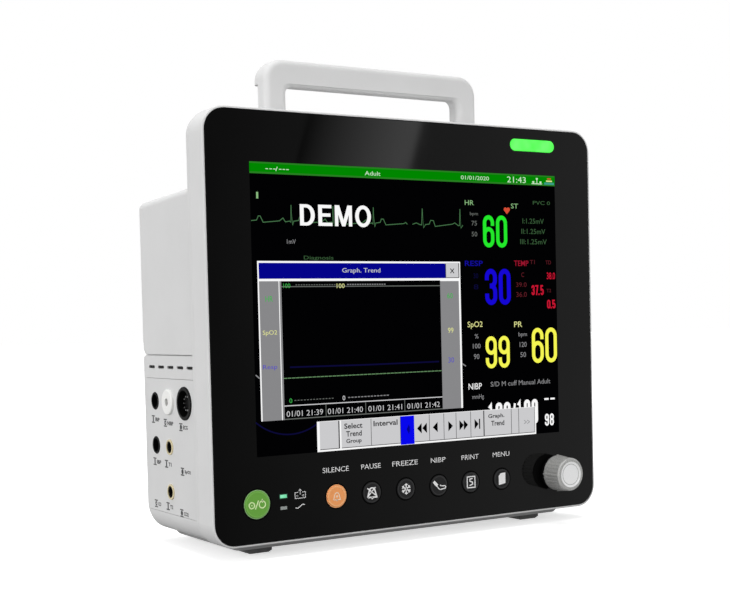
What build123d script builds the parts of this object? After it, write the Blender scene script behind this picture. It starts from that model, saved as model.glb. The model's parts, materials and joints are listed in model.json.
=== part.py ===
"""Bedside patient monitor with a 12.1 inch screen, as an assembly of separate pieces.

Millimetres. +X is the viewer's right, +Y points to the back, +Z up. The origin is on the floor under the
middle of the bounding box. Most places are given as x, depth behind the glass and height above the middle
of the glass, and the helpers below turn them into the part's frame.
"""
from build123d import *
from math import cos, radians, sin, tan
import os

os.makedirs("parts", exist_ok=True)

# ---------------------------------------------------------------- driving dimensions
HOUSING_WIDTH = 311.0
HOUSING_HEIGHT = 273.6
HOUSING_RADIUS = 15.5
FRONT_DEPTH = 20.0          # front housing, from the glass to the seam
PAN_REAR = 28.0             # back of the shallow rear shell
PAN_TAPER = 11.0            # degrees by which its sides lean inwards towards the back
BOX_REAR = 125.2            # back of the deep box
BOX_HALF_WIDTH = 150.0
BOX_TOP = 90.6              # top of the box where it meets the shell
TOP_DRAFT = 2.0             # degrees that the box top falls towards the back
WALL = 3.0
BOX_SIDE_RADIUS = 13.0      # rear and lower side edges of the box
BOX_HEEL_RADIUS = 19.0      # lower rear edge, in the side view
BOX_TOP_RADIUS = 5.0
GROOVE_HEIGHT = -17.0       # parting groove between the upper box and the lower cover
SPLIT_GAP = 0.15            # half the gap left at the groove
GROOVE_HALF = 0.7           # half the width of the groove itself
GROOVE_DEPTH = 1.3
SEAM_CHAMFER = 0.6          # on both edges of the seam behind the front housing
GROOVE_LIPS = [(4.0, 1.8, 16.0), (-2.0, 0.9, 14.5)]   # height, depth and corner radius of each lip

GLASS_WIDTH = 307.9
GLASS_HEIGHT = 270.6
GLASS_RADIUS = 14.0
GLASS_THICKNESS = 2.0
WALL_BACK = 4.8             # back of the wall behind the glass
SCREEN_X = -0.7
SCREEN_HEIGHT = 11.2
SCREEN_SIZE = (246.0, 184.5)
PANEL_SIZE = (279.0, 209.0)

KEY_ROW = -110.6            # height of the row of keys
KEY_PITCH = 27.1
FIRST_KEY_X = -66.6
KEY_RADIUS = 7.0
POWER_KEY_X = -124.6
POWER_KEY_RADIUS = 8.6
KEY_GAP = 0.3
KEY_PROUD = 0.6
KEY_TRAVEL = 1.2
BOARD_FRONT = 13.0          # front of the key board

KNOB_X = 114.75
KNOB_HEIGHT = -109.5
KNOB_REAR_RADIUS = 12.5
KNOB_FRONT_RADIUS = 11.25
KNOB_REAR = -6.0
KNOB_FRONT = -20.8
KNOB_TRAVEL = 0.8
KNOB_CAP_RADIUS = 10.3
COLLAR_RADIUS = 12.2
COLLAR_NECK_RADIUS = 6.0
COLLAR_THICKNESS = 1.4
COLLAR_FRONT = 4.8          # how far it stands in front of the glass
SHAFT_RADIUS = 3.0
BUSHING_RADIUS = 4.5
FLUTES = 28                 # shallow flutes, between four raised ribs
RIB_RISE = 0.6

ALARM_X = 102.3
ALARM_HEIGHT = 124.0
ALARM_SIZE = (39.5, 8.0)
INDICATOR_X = -105.7
INDICATOR_SIZE = (4.7, 2.0)
LENS_FLANGE = 2.5
FLANGE_THICKNESS = 1.5

FEET_BOTTOM = -146.0
BASE_BOTTOM = -141.4
BODY_BOTTOM = -HOUSING_HEIGHT / 2

HANDLE_HALF_SPAN = 87.4
HANDLE_LEG_WIDTH = 16.7
HANDLE_TOP = 178.6
GRIP_UNDERSIDE = 160.9
GRIP_BACK_UNDERSIDE = 162.6      # the grip is deeper than the legs from this height up
LEG_DEPTHS = (44.0, 58.0)
GRIP_BACK = 62.4
HANDLE_CORNER_RADIUS = 14.0
HANDLE_EDGE_RADIUS = 4.4
HANDLE_MIDDLE = HANDLE_HALF_SPAN - HANDLE_LEG_WIDTH / 2
HANDLE_SCREW_SHIFT = 12.5
HANDLE_SCREW_DEPTH = 51.0

PANEL_DEPTHS = (34.0, 110.5)     # patient connector panel, on the left side
PANEL_HEIGHTS = (-122.8, -32.4)
CONNECTOR_COLUMNS = (96.9, 74.2, 48.9)
CONNECTOR_ROWS = (-48.0, -78.0, -107.8)

MOUNT_SPACING = 75.0             # threaded holes in the back, M4
MOUNT_HEIGHT = 30.0
MOUNT_HOLE_RADIUS = 2.0

BATTERY_X = (-13.0, 82.4)        # battery door opening in the back
BATTERY_HEIGHTS = (-118.0, -72.0)
DOOR_GAP = 0.3
HINGE_PIN_RADIUS = 0.9
HINGE_PIN_LENGTH = 2.0
HINGE_CLEARANCE = 0.05

INLET_X = (-94.0, -66.0)          # mains inlet, data ports, earth stud and speaker, in the back
INLET_HEIGHTS = (-105.2, -84.8)
PORTS_X = (-98.0, -18.0)
PORTS_HEIGHTS = (-64.0, -40.0)
PORT_CUTS = [(-84.0, 12.0, 12.0, 14.0), (-63.0, 13.0, 6.0, 12.0), (-37.0, 25.0, 9.0, 6.0)]
EARTH_X = -42.0
EARTH_HEIGHT = -95.0
SPEAKER_X = 98.0
SPEAKER_HEIGHT = 35.0

RECORDER_DEPTHS = (45.0, 105.0)  # strip recorder, in the right side
RECORDER_HEIGHTS = (-100.0, -42.0)
RECORDER_INNER_X = 96.0
ROLL_X = 121.0
ROLL_HEIGHT = -76.0
ROLL_RADIUS = 19.0
PLATEN_X = 141.0
PLATEN_HEIGHT = -53.0
PLATEN_RADIUS = 5.0

SCREW_RADIUS = 1.25              # M3 screws and the holes they cut into
SCREW_HOLE = 1.3
HEAD_RADIUS = 2.75
HEAD_HEIGHT = 1.8
RECESS_SPAN = 3.2                # cross recess in each head
RECESS_WIDTH = 0.7
RECESS_DEPTH = 1.0

# The front of the knob and the back of the box are equally far from the origin.
GLASS_Y = -(BOX_REAR + KNOB_FRONT) / 2
GLASS_Z = -FEET_BOTTOM
DRAFT = tan(radians(TOP_DRAFT))


# ---------------------------------------------------------------- helpers
def upright(sketch, front, thickness, taper=0):
    """Extrude a front-view sketch (x, height) backwards from a depth behind the glass."""
    plane = Plane(origin=(0, GLASS_Y + front, GLASS_Z), x_dir=(1, 0, 0), z_dir=(0, -1, 0))
    return extrude(plane * sketch, amount=-thickness, taper=taper)


def sideways(sketch, start_x, length):
    """Extrude a side-view sketch (depth, height) towards +X."""
    plane = Plane(origin=(start_x, GLASS_Y, GLASS_Z), x_dir=(0, 1, 0), z_dir=(1, 0, 0))
    return extrude(plane * sketch, amount=length)


def level(sketch, bottom, height):
    """Extrude a plan-view sketch (x, depth) upwards from a height."""
    plane = Plane(origin=(0, GLASS_Y, GLASS_Z + bottom), x_dir=(1, 0, 0), z_dir=(0, 0, 1))
    return extrude(plane * sketch, amount=height)


def block(xs, depths, heights):
    """Box between two x values, two depths and two heights."""
    size = (xs[1] - xs[0], depths[1] - depths[0], heights[1] - heights[0])
    middle = (sum(xs) / 2, GLASS_Y + sum(depths) / 2, GLASS_Z + sum(heights) / 2)
    return Pos(*middle) * Box(*size)


def rod_back(radius, x, height, front, length):
    """Round rod along the depth."""
    return upright(Pos(x, height) * Circle(radius), front, length)


def rod_across(radius, depth, height, start_x, length):
    """Round rod along X."""
    return sideways(Pos(depth, height) * Circle(radius), start_x, length)


def rod_up(radius, x, depth, bottom, height):
    """Round rod along Z."""
    return level(Pos(x, depth) * Circle(radius), bottom, height)


def edges_in(shape, axis, value):
    """Edges that lie wholly in the plane where one coordinate has the given value."""
    def off(point):
        return abs({Axis.X: point.X, Axis.Y: point.Y, Axis.Z: point.Z}[axis] - value)
    return ShapeList(e for e in shape.edges() if max(off(e @ 0), off(e @ 0.5), off(e @ 1)) < 0.001)


def drawn_arch(half_span, foot, top, leg, grip_bottom, outer_radius, inner_radius):
    """Front-view outline of a handle: two legs under a level grip."""
    outer = Pos(0, (foot + top) / 2) * RectangleRounded(2 * half_span, top - foot, outer_radius)
    squared = Pos(0, foot + outer_radius / 2) * Rectangle(2 * half_span, outer_radius)
    gap_bottom = foot - 2 * inner_radius
    gap = Pos(0, (gap_bottom + grip_bottom) / 2) * RectangleRounded(
        2 * (half_span - leg), grip_bottom - gap_bottom, inner_radius)
    return outer + squared - gap


def save(name, *pieces):
    """Write one node: one piece, or a group of separate identical pieces."""
    solids = [solid for piece in pieces for solid in piece.solids()]
    shape = solids[0] if len(solids) == 1 else Compound(solids)
    export_step(shape, f"parts/{name}.step")


# ---------------------------------------------------------------- shared shapes
def box_form(inset):
    """The deep box behind the shell as a closed solid, with every face moved in by the inset."""
    front = FRONT_DEPTH
    rear = BOX_REAR - inset
    bottom = BODY_BOTTOM + inset
    half = BOX_HALF_WIDTH - inset
    top_front = BOX_TOP - inset + (PAN_REAR - front) * DRAFT
    top_rear = BOX_TOP - inset - (rear - PAN_REAR) * DRAFT
    outline = Polygon((front, bottom), (rear, bottom), (rear, top_rear), (front, top_front), align=None)
    heel = outline.vertices().sort_by(Axis.X)[-2:].sort_by(Axis.Y)[0]
    outline = fillet(heel, BOX_HEEL_RADIUS - inset)
    form = sideways(outline, -half, 2 * half)
    front_y = GLASS_Y + front
    side_edges = ShapeList()
    top_edges = ShapeList()
    for edge in edges_in(form, Axis.X, -half) + edges_in(form, Axis.X, half):
        at_front = abs((edge @ 0.5).Y - front_y) < 0.001
        if not at_front and (edge @ 0.5).Z > GLASS_Z + top_rear:
            top_edges.append(edge)
        elif not at_front:
            side_edges.append(edge)
    form = fillet(side_edges, BOX_SIDE_RADIUS - inset)
    crown = ShapeList(e for e in form.edges() if (e @ 0.5).Z > GLASS_Z + top_rear - 0.001
                      and (e @ 0.5).Y > front_y + 0.001)
    return fillet(crown, BOX_TOP_RADIUS - inset)


def recess(x, across):
    """Outline of the cross recess in a screw head."""
    arms = Rectangle(RECESS_SPAN, RECESS_WIDTH) + Rectangle(RECESS_WIDTH, RECESS_SPAN)
    return Pos(x, across) * arms


def board_screw(x, height, face, reach=8.0):
    """M3 screw driven from the back: its head rests on a face and its shank points to the front."""
    head = rod_back(HEAD_RADIUS, x, height, face, HEAD_HEIGHT)
    head -= upright(recess(x, height), face + HEAD_HEIGHT - RECESS_DEPTH, 2 * RECESS_DEPTH)
    return head + rod_back(SCREW_RADIUS, x, height, face - reach, reach)


def case_screw(x, height, face):
    """M3 case screw driven from the back, with a longer shank."""
    return board_screw(x, height, face, reach=9.0)


def key_xs():
    """Middles of the six equal keys, left to right."""
    return [FIRST_KEY_X + KEY_PITCH * i for i in range(6)]


def groove_lip(rise, depth, radius):
    """Cutter that rounds off the rear corner of one shell towards the groove."""
    def outline(rear, corner, height):
        plane = Plane(origin=(0, GLASS_Y, GLASS_Z + height), x_dir=(1, 0, 0), z_dir=(0, 0, 1))
        return plane * Pos(0, rear / 2) * RectangleRounded(2 * (BOX_HALF_WIDTH + 0.05), rear, corner)
    kept = loft([outline(BOX_REAR + 0.05 - depth, radius, GROOVE_HEIGHT),
                 outline(BOX_REAR + 0.05, BOX_SIDE_RADIUS, GROOVE_HEIGHT + rise)])
    heights = sorted((GROOVE_HEIGHT, GROOVE_HEIGHT + rise))
    return block((-160, 160), (100, 140), heights) - kept


CORNER_SCREWS = [(144.0, 126.0), (-144.0, 126.0), (143.0, -124.0), (-143.0, -124.0)]
DEEP_SCREWS = [(138.0, -30.0), (-138.0, -30.0), (130.0, -127.0), (-130.0, -127.0)]
BASE_SCREWS = [(90.0, 45.0), (-90.0, 45.0), (90.0, 100.0), (-90.0, 100.0)]
BRACKET_SCREWS = [(146.0, 100.0), (-147.0, 100.0), (146.0, -78.0), (-147.0, -78.0)]
KEY_BOARD_SCREWS = [(-90.0, -113.0), (-25.95, -110.6), (28.25, -110.6), (92.0, -113.0)]
PLATE_SCREWS = [(127.5, 75.5), (-127.5, 75.5), (127.5, -115.0), (-127.5, -115.0)]
MAIN_BOARD_SCREWS = [(-75.0, -35.0), (95.0, -35.0), (-75.0, 73.0), (95.0, 73.0)]
POWER_BOARD_SCREWS = [(-130.0, 0.0), (-50.0, 0.0), (-130.0, 70.0), (-50.0, 70.0)]

INDICATORS = {"charge_indicator": -107.2, "mains_indicator": -114.6}
KEY_NAMES = ["silence_button", "pause_button", "freeze_button", "nibp_button", "print_button",
             "menu_button"]


def front_openings(front, depth, extra):
    """Openings that the lights, keys and knob share, as cutters a little larger than the pieces."""
    width, height = ALARM_SIZE
    cutters = [upright(Pos(ALARM_X, ALARM_HEIGHT) * SlotOverall(width + 2 * extra, height + 2 * extra),
                       front, depth)]
    wide, tall = INDICATOR_SIZE
    for light in INDICATORS.values():
        hole = Pos(INDICATOR_X, light) * Rectangle(wide + 2 * extra, tall + 2 * extra)
        cutters.append(upright(hole, front, depth))
    for x in key_xs():
        cutters.append(rod_back(KEY_RADIUS + KEY_GAP, x, KEY_ROW, front, depth))
    cutters.append(rod_back(POWER_KEY_RADIUS + KEY_GAP, POWER_KEY_X, KEY_ROW, front, depth))
    cutters.append(rod_back(BUSHING_RADIUS + extra, KNOB_X, KNOB_HEIGHT, front, depth))
    return cutters


# ---------------------------------------------------------------- front assembly
def make_front_housing():
    """Shell around the glass: a rim, a wall behind the glass and side walls back to the seam."""
    rim = RectangleRounded(HOUSING_WIDTH, HOUSING_HEIGHT, HOUSING_RADIUS)
    shell = upright(rim, 0, FRONT_DEPTH)
    shell = fillet(edges_in(shell, Axis.Y, GLASS_Y), 1.0)
    shell = chamfer(edges_in(shell, Axis.Y, GLASS_Y + FRONT_DEPTH), SEAM_CHAMFER)
    pocket = RectangleRounded(GLASS_WIDTH + 0.4, GLASS_HEIGHT + 0.4, GLASS_RADIUS + 0.2)
    shell -= upright(pocket, -1, 1 + GLASS_THICKNESS)
    inner = RectangleRounded(HOUSING_WIDTH - 5.6, HOUSING_HEIGHT - 5.6, HOUSING_RADIUS - 2.8)
    shell -= upright(inner, WALL_BACK, FRONT_DEPTH)
    window = Pos(SCREEN_X, SCREEN_HEIGHT) * Rectangle(SCREEN_SIZE[0] + 4, SCREEN_SIZE[1] + 4)
    shell -= upright(window, 0, WALL_BACK + 1)
    for cutter in front_openings(0, WALL_BACK + 1, 0.3):
        shell -= cutter
    posts = [(x, h, 4.0, PAN_REAR - 2.8) for x, h in CORNER_SCREWS]
    posts += [(x, h, 3.5, 16.0) for x, h in BRACKET_SCREWS]
    posts += [(x, h, 3.0, BOARD_FRONT) for x, h in KEY_BOARD_SCREWS]
    for x, height, radius, end in posts:
        shell += rod_back(radius, x, height, WALL_BACK - 1, end - WALL_BACK + 1)
        shell -= rod_back(SCREW_HOLE, x, height, WALL_BACK, end)
    save("front_housing", shell)


def make_glass():
    """Black cover glass with its openings."""
    sheet = upright(RectangleRounded(GLASS_WIDTH, GLASS_HEIGHT, GLASS_RADIUS), 0, GLASS_THICKNESS)
    sheet = chamfer(edges_in(sheet, Axis.Y, GLASS_Y), 0.3)
    for cutter in front_openings(-1, GLASS_THICKNESS + 2, 0.3):
        sheet -= cutter
    save("front_glass", sheet)


def make_display():
    """Gasket, liquid crystal cell, backlight tray and sheet bracket, one behind the other."""
    middle = Pos(SCREEN_X, SCREEN_HEIGHT)
    ring = middle * (Rectangle(PANEL_SIZE[0] - 11, PANEL_SIZE[1] - 3)
                     - Rectangle(SCREEN_SIZE[0] + 5, SCREEN_SIZE[1] + 5))
    save("display_gasket", upright(ring, WALL_BACK, 1.7))
    save("lcd_panel", upright(middle * Rectangle(*PANEL_SIZE), 6.5, 3.0))
    tray = upright(middle * Rectangle(*PANEL_SIZE), 9.5, 6.5)
    for side in (-1, 1):
        tray -= upright(middle * Pos(side * 70, 0) * Rectangle(110, 170), 14.5, 2)
    save("lcd_backlight", tray)
    sheet = middle * (Rectangle(PANEL_SIZE[0] + 3, PANEL_SIZE[1] + 3))
    for x, height in BRACKET_SCREWS:
        sheet += Pos(x * 0.975, height) * Rectangle(18, 12)
    for side in (-1, 1):
        sheet -= middle * Pos(side * 68, 0) * Rectangle(96, 150)
    for x, height in BRACKET_SCREWS:
        sheet -= Pos(x, height) * Circle(SCREW_HOLE + 0.3)
    save("lcd_bracket", upright(sheet, 16.0, 1.0))


def make_lights():
    """Alarm light bar with its board, and the two small light pipes."""
    width, height = ALARM_SIZE
    place = Pos(ALARM_X, ALARM_HEIGHT)
    lens = upright(place * SlotOverall(width, height), -0.5, 0.5 + WALL_BACK)
    lens = fillet(edges_in(lens, Axis.Y, GLASS_Y - 0.5), 0.4)
    lens += upright(place * SlotOverall(width + 2 * LENS_FLANGE, height + 2 * LENS_FLANGE), WALL_BACK,
                    FLANGE_THICKNESS)
    save("alarm_lens", lens)
    board = upright(place * Rectangle(58, 11), 9.0, 1.2)
    for i in range(6):
        x = ALARM_X - 15 + 6 * i
        board += block((x - 1.5, x + 1.5), (8.0, 9.0), (ALARM_HEIGHT - 1, ALARM_HEIGHT + 1))
    save("alarm_light_board", board)
    wide, tall = INDICATOR_SIZE
    for name, middle in INDICATORS.items():
        pipe = upright(Pos(INDICATOR_X, middle) * Rectangle(wide, tall), -0.2, WALL_BACK + 0.2)
        pipe += upright(Pos(INDICATOR_X, middle) * Rectangle(wide + 2, tall + 2), WALL_BACK,
                        FLANGE_THICKNESS)
        save(name, pipe)


def make_key(name, x, radius):
    """Round key: a cap in the glass, a flange behind the wall and a stem towards its switch."""
    flange_front = WALL_BACK + 0.4
    cap = rod_back(radius, x, KEY_ROW, -KEY_PROUD, KEY_PROUD + flange_front)
    cap = fillet(edges_in(cap, Axis.Y, GLASS_Y - KEY_PROUD), 0.4)
    cap += rod_back(radius + 1.5, x, KEY_ROW, flange_front, 1.2)
    cap += rod_back(2.5, x, KEY_ROW, flange_front + 1.2, 2.0)
    save(name, cap)


def make_key_board():
    """Circuit board behind the keys, with a push switch for each."""
    board = block((-136.5, 136.0), (BOARD_FRONT, BOARD_FRONT + 1.6), (-127.0, -98.0))
    for x in [POWER_KEY_X] + key_xs():
        board += block((x - 3, x + 3), (BOARD_FRONT - 2.2, BOARD_FRONT), (KEY_ROW - 3, KEY_ROW + 3))
        board += rod_back(1.7, x, KEY_ROW, BOARD_FRONT - 3.1, 1.0)
    for height in INDICATORS.values():
        board += block((INDICATOR_X - 1.5, INDICATOR_X + 1.5), (BOARD_FRONT - 1, BOARD_FRONT),
                       (height - 1, height + 1))
    for x, height in KEY_BOARD_SCREWS:
        board -= rod_back(SCREW_HOLE + 0.1, x, height, BOARD_FRONT - 1, 4)
    save("key_board", board)


def make_knob():
    """Rotary encoder with a push switch, its shaft, the fluted knob, the knob's cap and the collar."""
    can = block((KNOB_X - 7, KNOB_X + 7), (6.0, BOARD_FRONT), (KNOB_HEIGHT - 7, KNOB_HEIGHT + 7))
    can += rod_back(BUSHING_RADIUS, KNOB_X, KNOB_HEIGHT, -4.0, 10.0)
    can -= rod_back(5.5, KNOB_X, KNOB_HEIGHT, 7.0, BOARD_FRONT - 7.0)
    can -= rod_back(SHAFT_RADIUS + 0.06, KNOB_X, KNOB_HEIGHT, -5.0, 13.0)
    save("encoder_body", can)
    save("encoder_plunger", rod_back(4.6, KNOB_X, KNOB_HEIGHT, 10.7, 1.0))
    shaft_front = KNOB_FRONT + 4.0
    shaft = rod_back(SHAFT_RADIUS, KNOB_X, KNOB_HEIGHT, shaft_front, 10.4 - shaft_front)
    shaft += rod_back(4.4, KNOB_X, KNOB_HEIGHT, 8.4, 2.0)
    save("encoder_shaft", shaft)

    length = KNOB_REAR - KNOB_FRONT
    rim = 1.0
    profile = Polygon((0, 0), (KNOB_REAR_RADIUS, 0), (KNOB_REAR_RADIUS, 1.2),
                      (KNOB_FRONT_RADIUS + 0.35, length - rim), (KNOB_FRONT_RADIUS - 0.4, length),
                      (0, length), align=None)
    knob = revolve(Plane.XZ * profile, Axis.Z)
    lean = (KNOB_REAR_RADIUS - KNOB_FRONT_RADIUS) / length
    middle_radius = (KNOB_REAR_RADIUS + KNOB_FRONT_RADIUS) / 2
    tilt = Rot(0, -lean * 57.3, 0)
    flute = Cylinder(1.2, length * 0.72)
    for i in range(FLUTES):
        turn = Rot(0, 0, 360 / FLUTES * (i + 0.5))
        knob -= turn * Pos(middle_radius + 0.95, 0, length * 0.5) * tilt * flute
    rib = Polygon((KNOB_REAR_RADIUS - 1, 0), (KNOB_REAR_RADIUS + RIB_RISE, 0),
                  (KNOB_REAR_RADIUS + RIB_RISE, 1), (KNOB_FRONT_RADIUS + 0.5, length - 1.5),
                  (KNOB_FRONT_RADIUS - 0.6, length - 1.5), align=None)
    rib = extrude(Plane.XZ * rib, amount=0.5, both=True)
    for i in range(4):
        knob += Rot(0, 0, 90 * i) * rib
    knob -= Pos(0, 0, length - 1.5) * Cylinder(KNOB_CAP_RADIUS + 0.08, 1.5,
                                               align=(Align.CENTER, Align.CENTER, Align.MIN))
    knob -= Cylinder(SHAFT_RADIUS + 0.02, length - 4.0, align=(Align.CENTER, Align.CENTER, Align.MIN))
    knob -= Cylinder(9.0, 6.0, align=(Align.CENTER, Align.CENTER, Align.MIN))
    knob += Cylinder(6.0, 6.0, align=(Align.CENTER, Align.CENTER, Align.MIN)) \
        - Cylinder(SHAFT_RADIUS + 0.02, 6.0, align=(Align.CENTER, Align.CENTER, Align.MIN))
    place = Pos(KNOB_X, GLASS_Y + KNOB_REAR, GLASS_Z + KNOB_HEIGHT) * Rot(90, 0, 0)
    save("rotary_knob", place * knob)

    cap = Cylinder(KNOB_CAP_RADIUS, 1.5, align=(Align.CENTER, Align.CENTER, Align.MIN))
    cap = fillet(cap.edges().group_by(Axis.Z)[-1], 0.4)
    cap -= Pos(0, 0, 1.1) * Cylinder(KNOB_CAP_RADIUS - 1.5, 1.0,
                                     align=(Align.CENTER, Align.CENTER, Align.MIN))
    save("knob_cap", place * Pos(0, 0, length - 1.5) * cap)

    step = COLLAR_FRONT - COLLAR_THICKNESS
    skirt = Polygon((BUSHING_RADIUS + 0.1, 0), (COLLAR_NECK_RADIUS, 0), (COLLAR_NECK_RADIUS, step),
                    (COLLAR_RADIUS, step), (COLLAR_RADIUS, COLLAR_FRONT),
                    (BUSHING_RADIUS + 0.1, COLLAR_FRONT), align=None)
    collar = revolve(Plane.XZ * skirt, Axis.Z)
    on_glass = Pos(KNOB_X, GLASS_Y, GLASS_Z + KNOB_HEIGHT) * Rot(90, 0, 0)
    save("knob_collar", on_glass * collar)


# ---------------------------------------------------------------- housing
def make_rear_shells():
    """Rear shell with the upper box, and the lower cover under the parting groove."""
    pan_sketch = RectangleRounded(HOUSING_WIDTH - 0.6, HOUSING_HEIGHT - 0.6, HOUSING_RADIUS - 0.3)
    pan = upright(pan_sketch, FRONT_DEPTH, PAN_REAR - FRONT_DEPTH, PAN_TAPER)
    pan = chamfer(edges_in(pan, Axis.Y, GLASS_Y + FRONT_DEPTH), SEAM_CHAMFER)
    pan = fillet(edges_in(pan, Axis.Y, GLASS_Y + PAN_REAR), 2.4)
    inner = RectangleRounded(HOUSING_WIDTH - 5.6, HOUSING_HEIGHT - 5.6, HOUSING_RADIUS - 2.8)
    pan -= upright(inner, FRONT_DEPTH - 1, PAN_REAR - 2.8 - FRONT_DEPTH + 1)
    opening = Pos(0, -20) * RectangleRounded(244, 180, 8)
    pan -= upright(opening, FRONT_DEPTH, 20)
    for x, height in CORNER_SCREWS + DEEP_SCREWS:
        pan -= rod_back(SCREW_HOLE + 0.2, x, height, FRONT_DEPTH, 20)
    for x, height in PLATE_SCREWS:
        pan += rod_back(3.0, x, height, PAN_REAR - 6.5, 5)
        pan -= rod_back(SCREW_HOLE, x, height, PAN_REAR - 7, 20)

    box_walls = box_form(0) - box_form(WALL)
    wide = (-160, 160)
    groove = (GROOVE_HEIGHT - GROOVE_HALF, GROOVE_HEIGHT + GROOVE_HALF)
    ring = block(wide, (PAN_REAR, 140), groove) - box_form(GROOVE_DEPTH)
    box_walls -= ring
    upper = box_walls & block(wide, (PAN_REAR, 140), (GROOVE_HEIGHT + SPLIT_GAP, 120))
    upper -= groove_lip(*GROOVE_LIPS[0])
    lower = box_walls & block(wide, (PAN_REAR, 140), (-150, GROOVE_HEIGHT - SPLIT_GAP))
    lower -= groove_lip(*GROOVE_LIPS[1])

    housing = pan + upper
    for x, height in POWER_BOARD_SCREWS:
        housing += rod_back(3.5, x, height, 91.6, BOX_REAR - WALL - 91.6 + 0.5)
        housing -= rod_back(SCREW_HOLE, x, height, 91.0, 10)
    for side in (-1, 1):
        for lift in (-0.5, 0.5):
            place = (side * MOUNT_SPACING / 2, MOUNT_HEIGHT + lift * MOUNT_SPACING)
            housing += rod_back(6.0, *place, BOX_REAR - 13.2, 10.7)
            housing -= rod_back(MOUNT_HOLE_RADIUS, *place, BOX_REAR - 14, 16)
        for shift in (-1, 1):
            x = side * HANDLE_MIDDLE + shift * HANDLE_SCREW_SHIFT
            housing -= rod_up(2.3, x, HANDLE_SCREW_DEPTH, 80, 20)
    for row in range(3):
        for column in range(9):
            x = -48 + 12 * column
            housing -= upright(Pos(x, 79 + 3.6 * (row - 1)) * SlotOverall(9, 1.8), BOX_REAR - 5, 10)
    for row in range(6):
        housing -= upright(Pos(SPEAKER_X, SPEAKER_HEIGHT + 5 * (row - 2.5)) * SlotOverall(34, 2), 120, 10)
    save("rear_housing", housing)

    for side in (-1, 1):
        for i in range(5):
            depth = 101 - 15.5 * i
            slot = Pos(depth, -24.9) * SlotOverall(10, 2.0)
            lower -= sideways(slot, side * BOX_HALF_WIDTH - 5, 10)
    depths = PANEL_DEPTHS
    lower -= block((-160, -145), depths, PANEL_HEIGHTS)
    lower -= block((145, 160), RECORDER_DEPTHS, RECORDER_HEIGHTS)
    for x, height in DEEP_SCREWS:
        lower += rod_back(4.5, x, height, PAN_REAR, BOX_REAR - PAN_REAR) & box_form(1.0)
        lower -= rod_back(3.1, x, height, PAN_REAR + 3, 120)
        lower -= rod_back(SCREW_HOLE + 0.2, x, height, PAN_REAR - 1, 10)
    for x, depth in BASE_SCREWS:
        lower += rod_up(4.0, x, depth, BODY_BOTTOM + 1, 11)
        lower -= rod_up(SCREW_HOLE + 0.1, x, depth, BODY_BOTTOM - 1, 14)
    # battery bay with its rear opening and the sockets of the door's hinge pins
    wall = 1.7
    step = 1.4
    low, high = BATTERY_HEIGHTS
    bay_x = (BATTERY_X[0] - wall, BATTERY_X[1] + wall)
    lower += block(bay_x, (48.0, BOX_REAR - 1.5), (low - wall, high + wall))
    lower -= block((BATTERY_X[0] + step, BATTERY_X[1] - step), (49.7, BOX_REAR), (low + step, high - step))
    lower -= block(BATTERY_X, (BOX_REAR - WALL, BOX_REAR + 5), BATTERY_HEIGHTS)
    pivot_depth, pivot_height = battery_pivot()
    pin_hole = HINGE_PIN_RADIUS + HINGE_CLEARANCE
    lower -= rod_across(pin_hole, pivot_depth, pivot_height, BATTERY_X[0] - 2.2, 100)
    lower -= block((20, 50), (BOX_REAR - 1.4, BOX_REAR + 5), (BATTERY_HEIGHTS[1] - 1, BATTERY_HEIGHTS[1] + 3))
    # openings for the mains inlet and the port panel, a shelf over the ports, and a cup around the stud
    lower -= block(INLET_X, (BOX_REAR - 6, BOX_REAR + 5), INLET_HEIGHTS)
    lower -= block(PORTS_X, (BOX_REAR - 6, BOX_REAR + 5), PORTS_HEIGHTS)
    shelf = PORTS_HEIGHTS[1] + 3.4
    lower += block((PORTS_X[0] - 4, PORTS_X[1] + 4), (BOX_REAR - 27, BOX_REAR - 1), (shelf, shelf + 1.6))
    lower += rod_back(9.5, EARTH_X, EARTH_HEIGHT, BOX_REAR - 14, 13)
    lower -= rod_back(8.0, EARTH_X, EARTH_HEIGHT, BOX_REAR - 12.5, 20)
    lower -= rod_back(3.1, EARTH_X, EARTH_HEIGHT, BOX_REAR - 20, 20)
    save("lower_cover", lower)


def battery_pivot():
    """Depth and height of the battery door's hinge axis."""
    return BOX_REAR - WALL / 2, BATTERY_HEIGHTS[0] + DOOR_GAP + WALL / 2


def make_base():
    """Plinth under the body, with four rubber feet."""
    plinth = block((-135, 135), (12.0, 112.0), (BASE_BOTTOM, BODY_BOTTOM))
    plinth = fillet(plinth.edges().filter_by(Axis.Z), 8.0)
    plinth = chamfer(edges_in(plinth, Axis.Z, GLASS_Z + BASE_BOTTOM), 3.6)
    for x, depth in BASE_SCREWS:
        plinth -= rod_up(SCREW_HOLE + 0.2, x, depth, BASE_BOTTOM - 1, 10)
        plinth -= rod_up(HEAD_RADIUS + 0.4, x, depth, BASE_BOTTOM - 1, 3.6)
    save("base_plate", plinth)
    feet = []
    for x in (-111.5, 111.5):
        for front in (22.5, 88.5):
            foot = block((x - 8.5, x + 8.5), (front, front + 19.0), (FEET_BOTTOM, BASE_BOTTOM))
            foot = chamfer(edges_in(foot, Axis.Z, GLASS_Z + FEET_BOTTOM), 1.6)
            feet.append(foot)
    save("feet", *feet)


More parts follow.
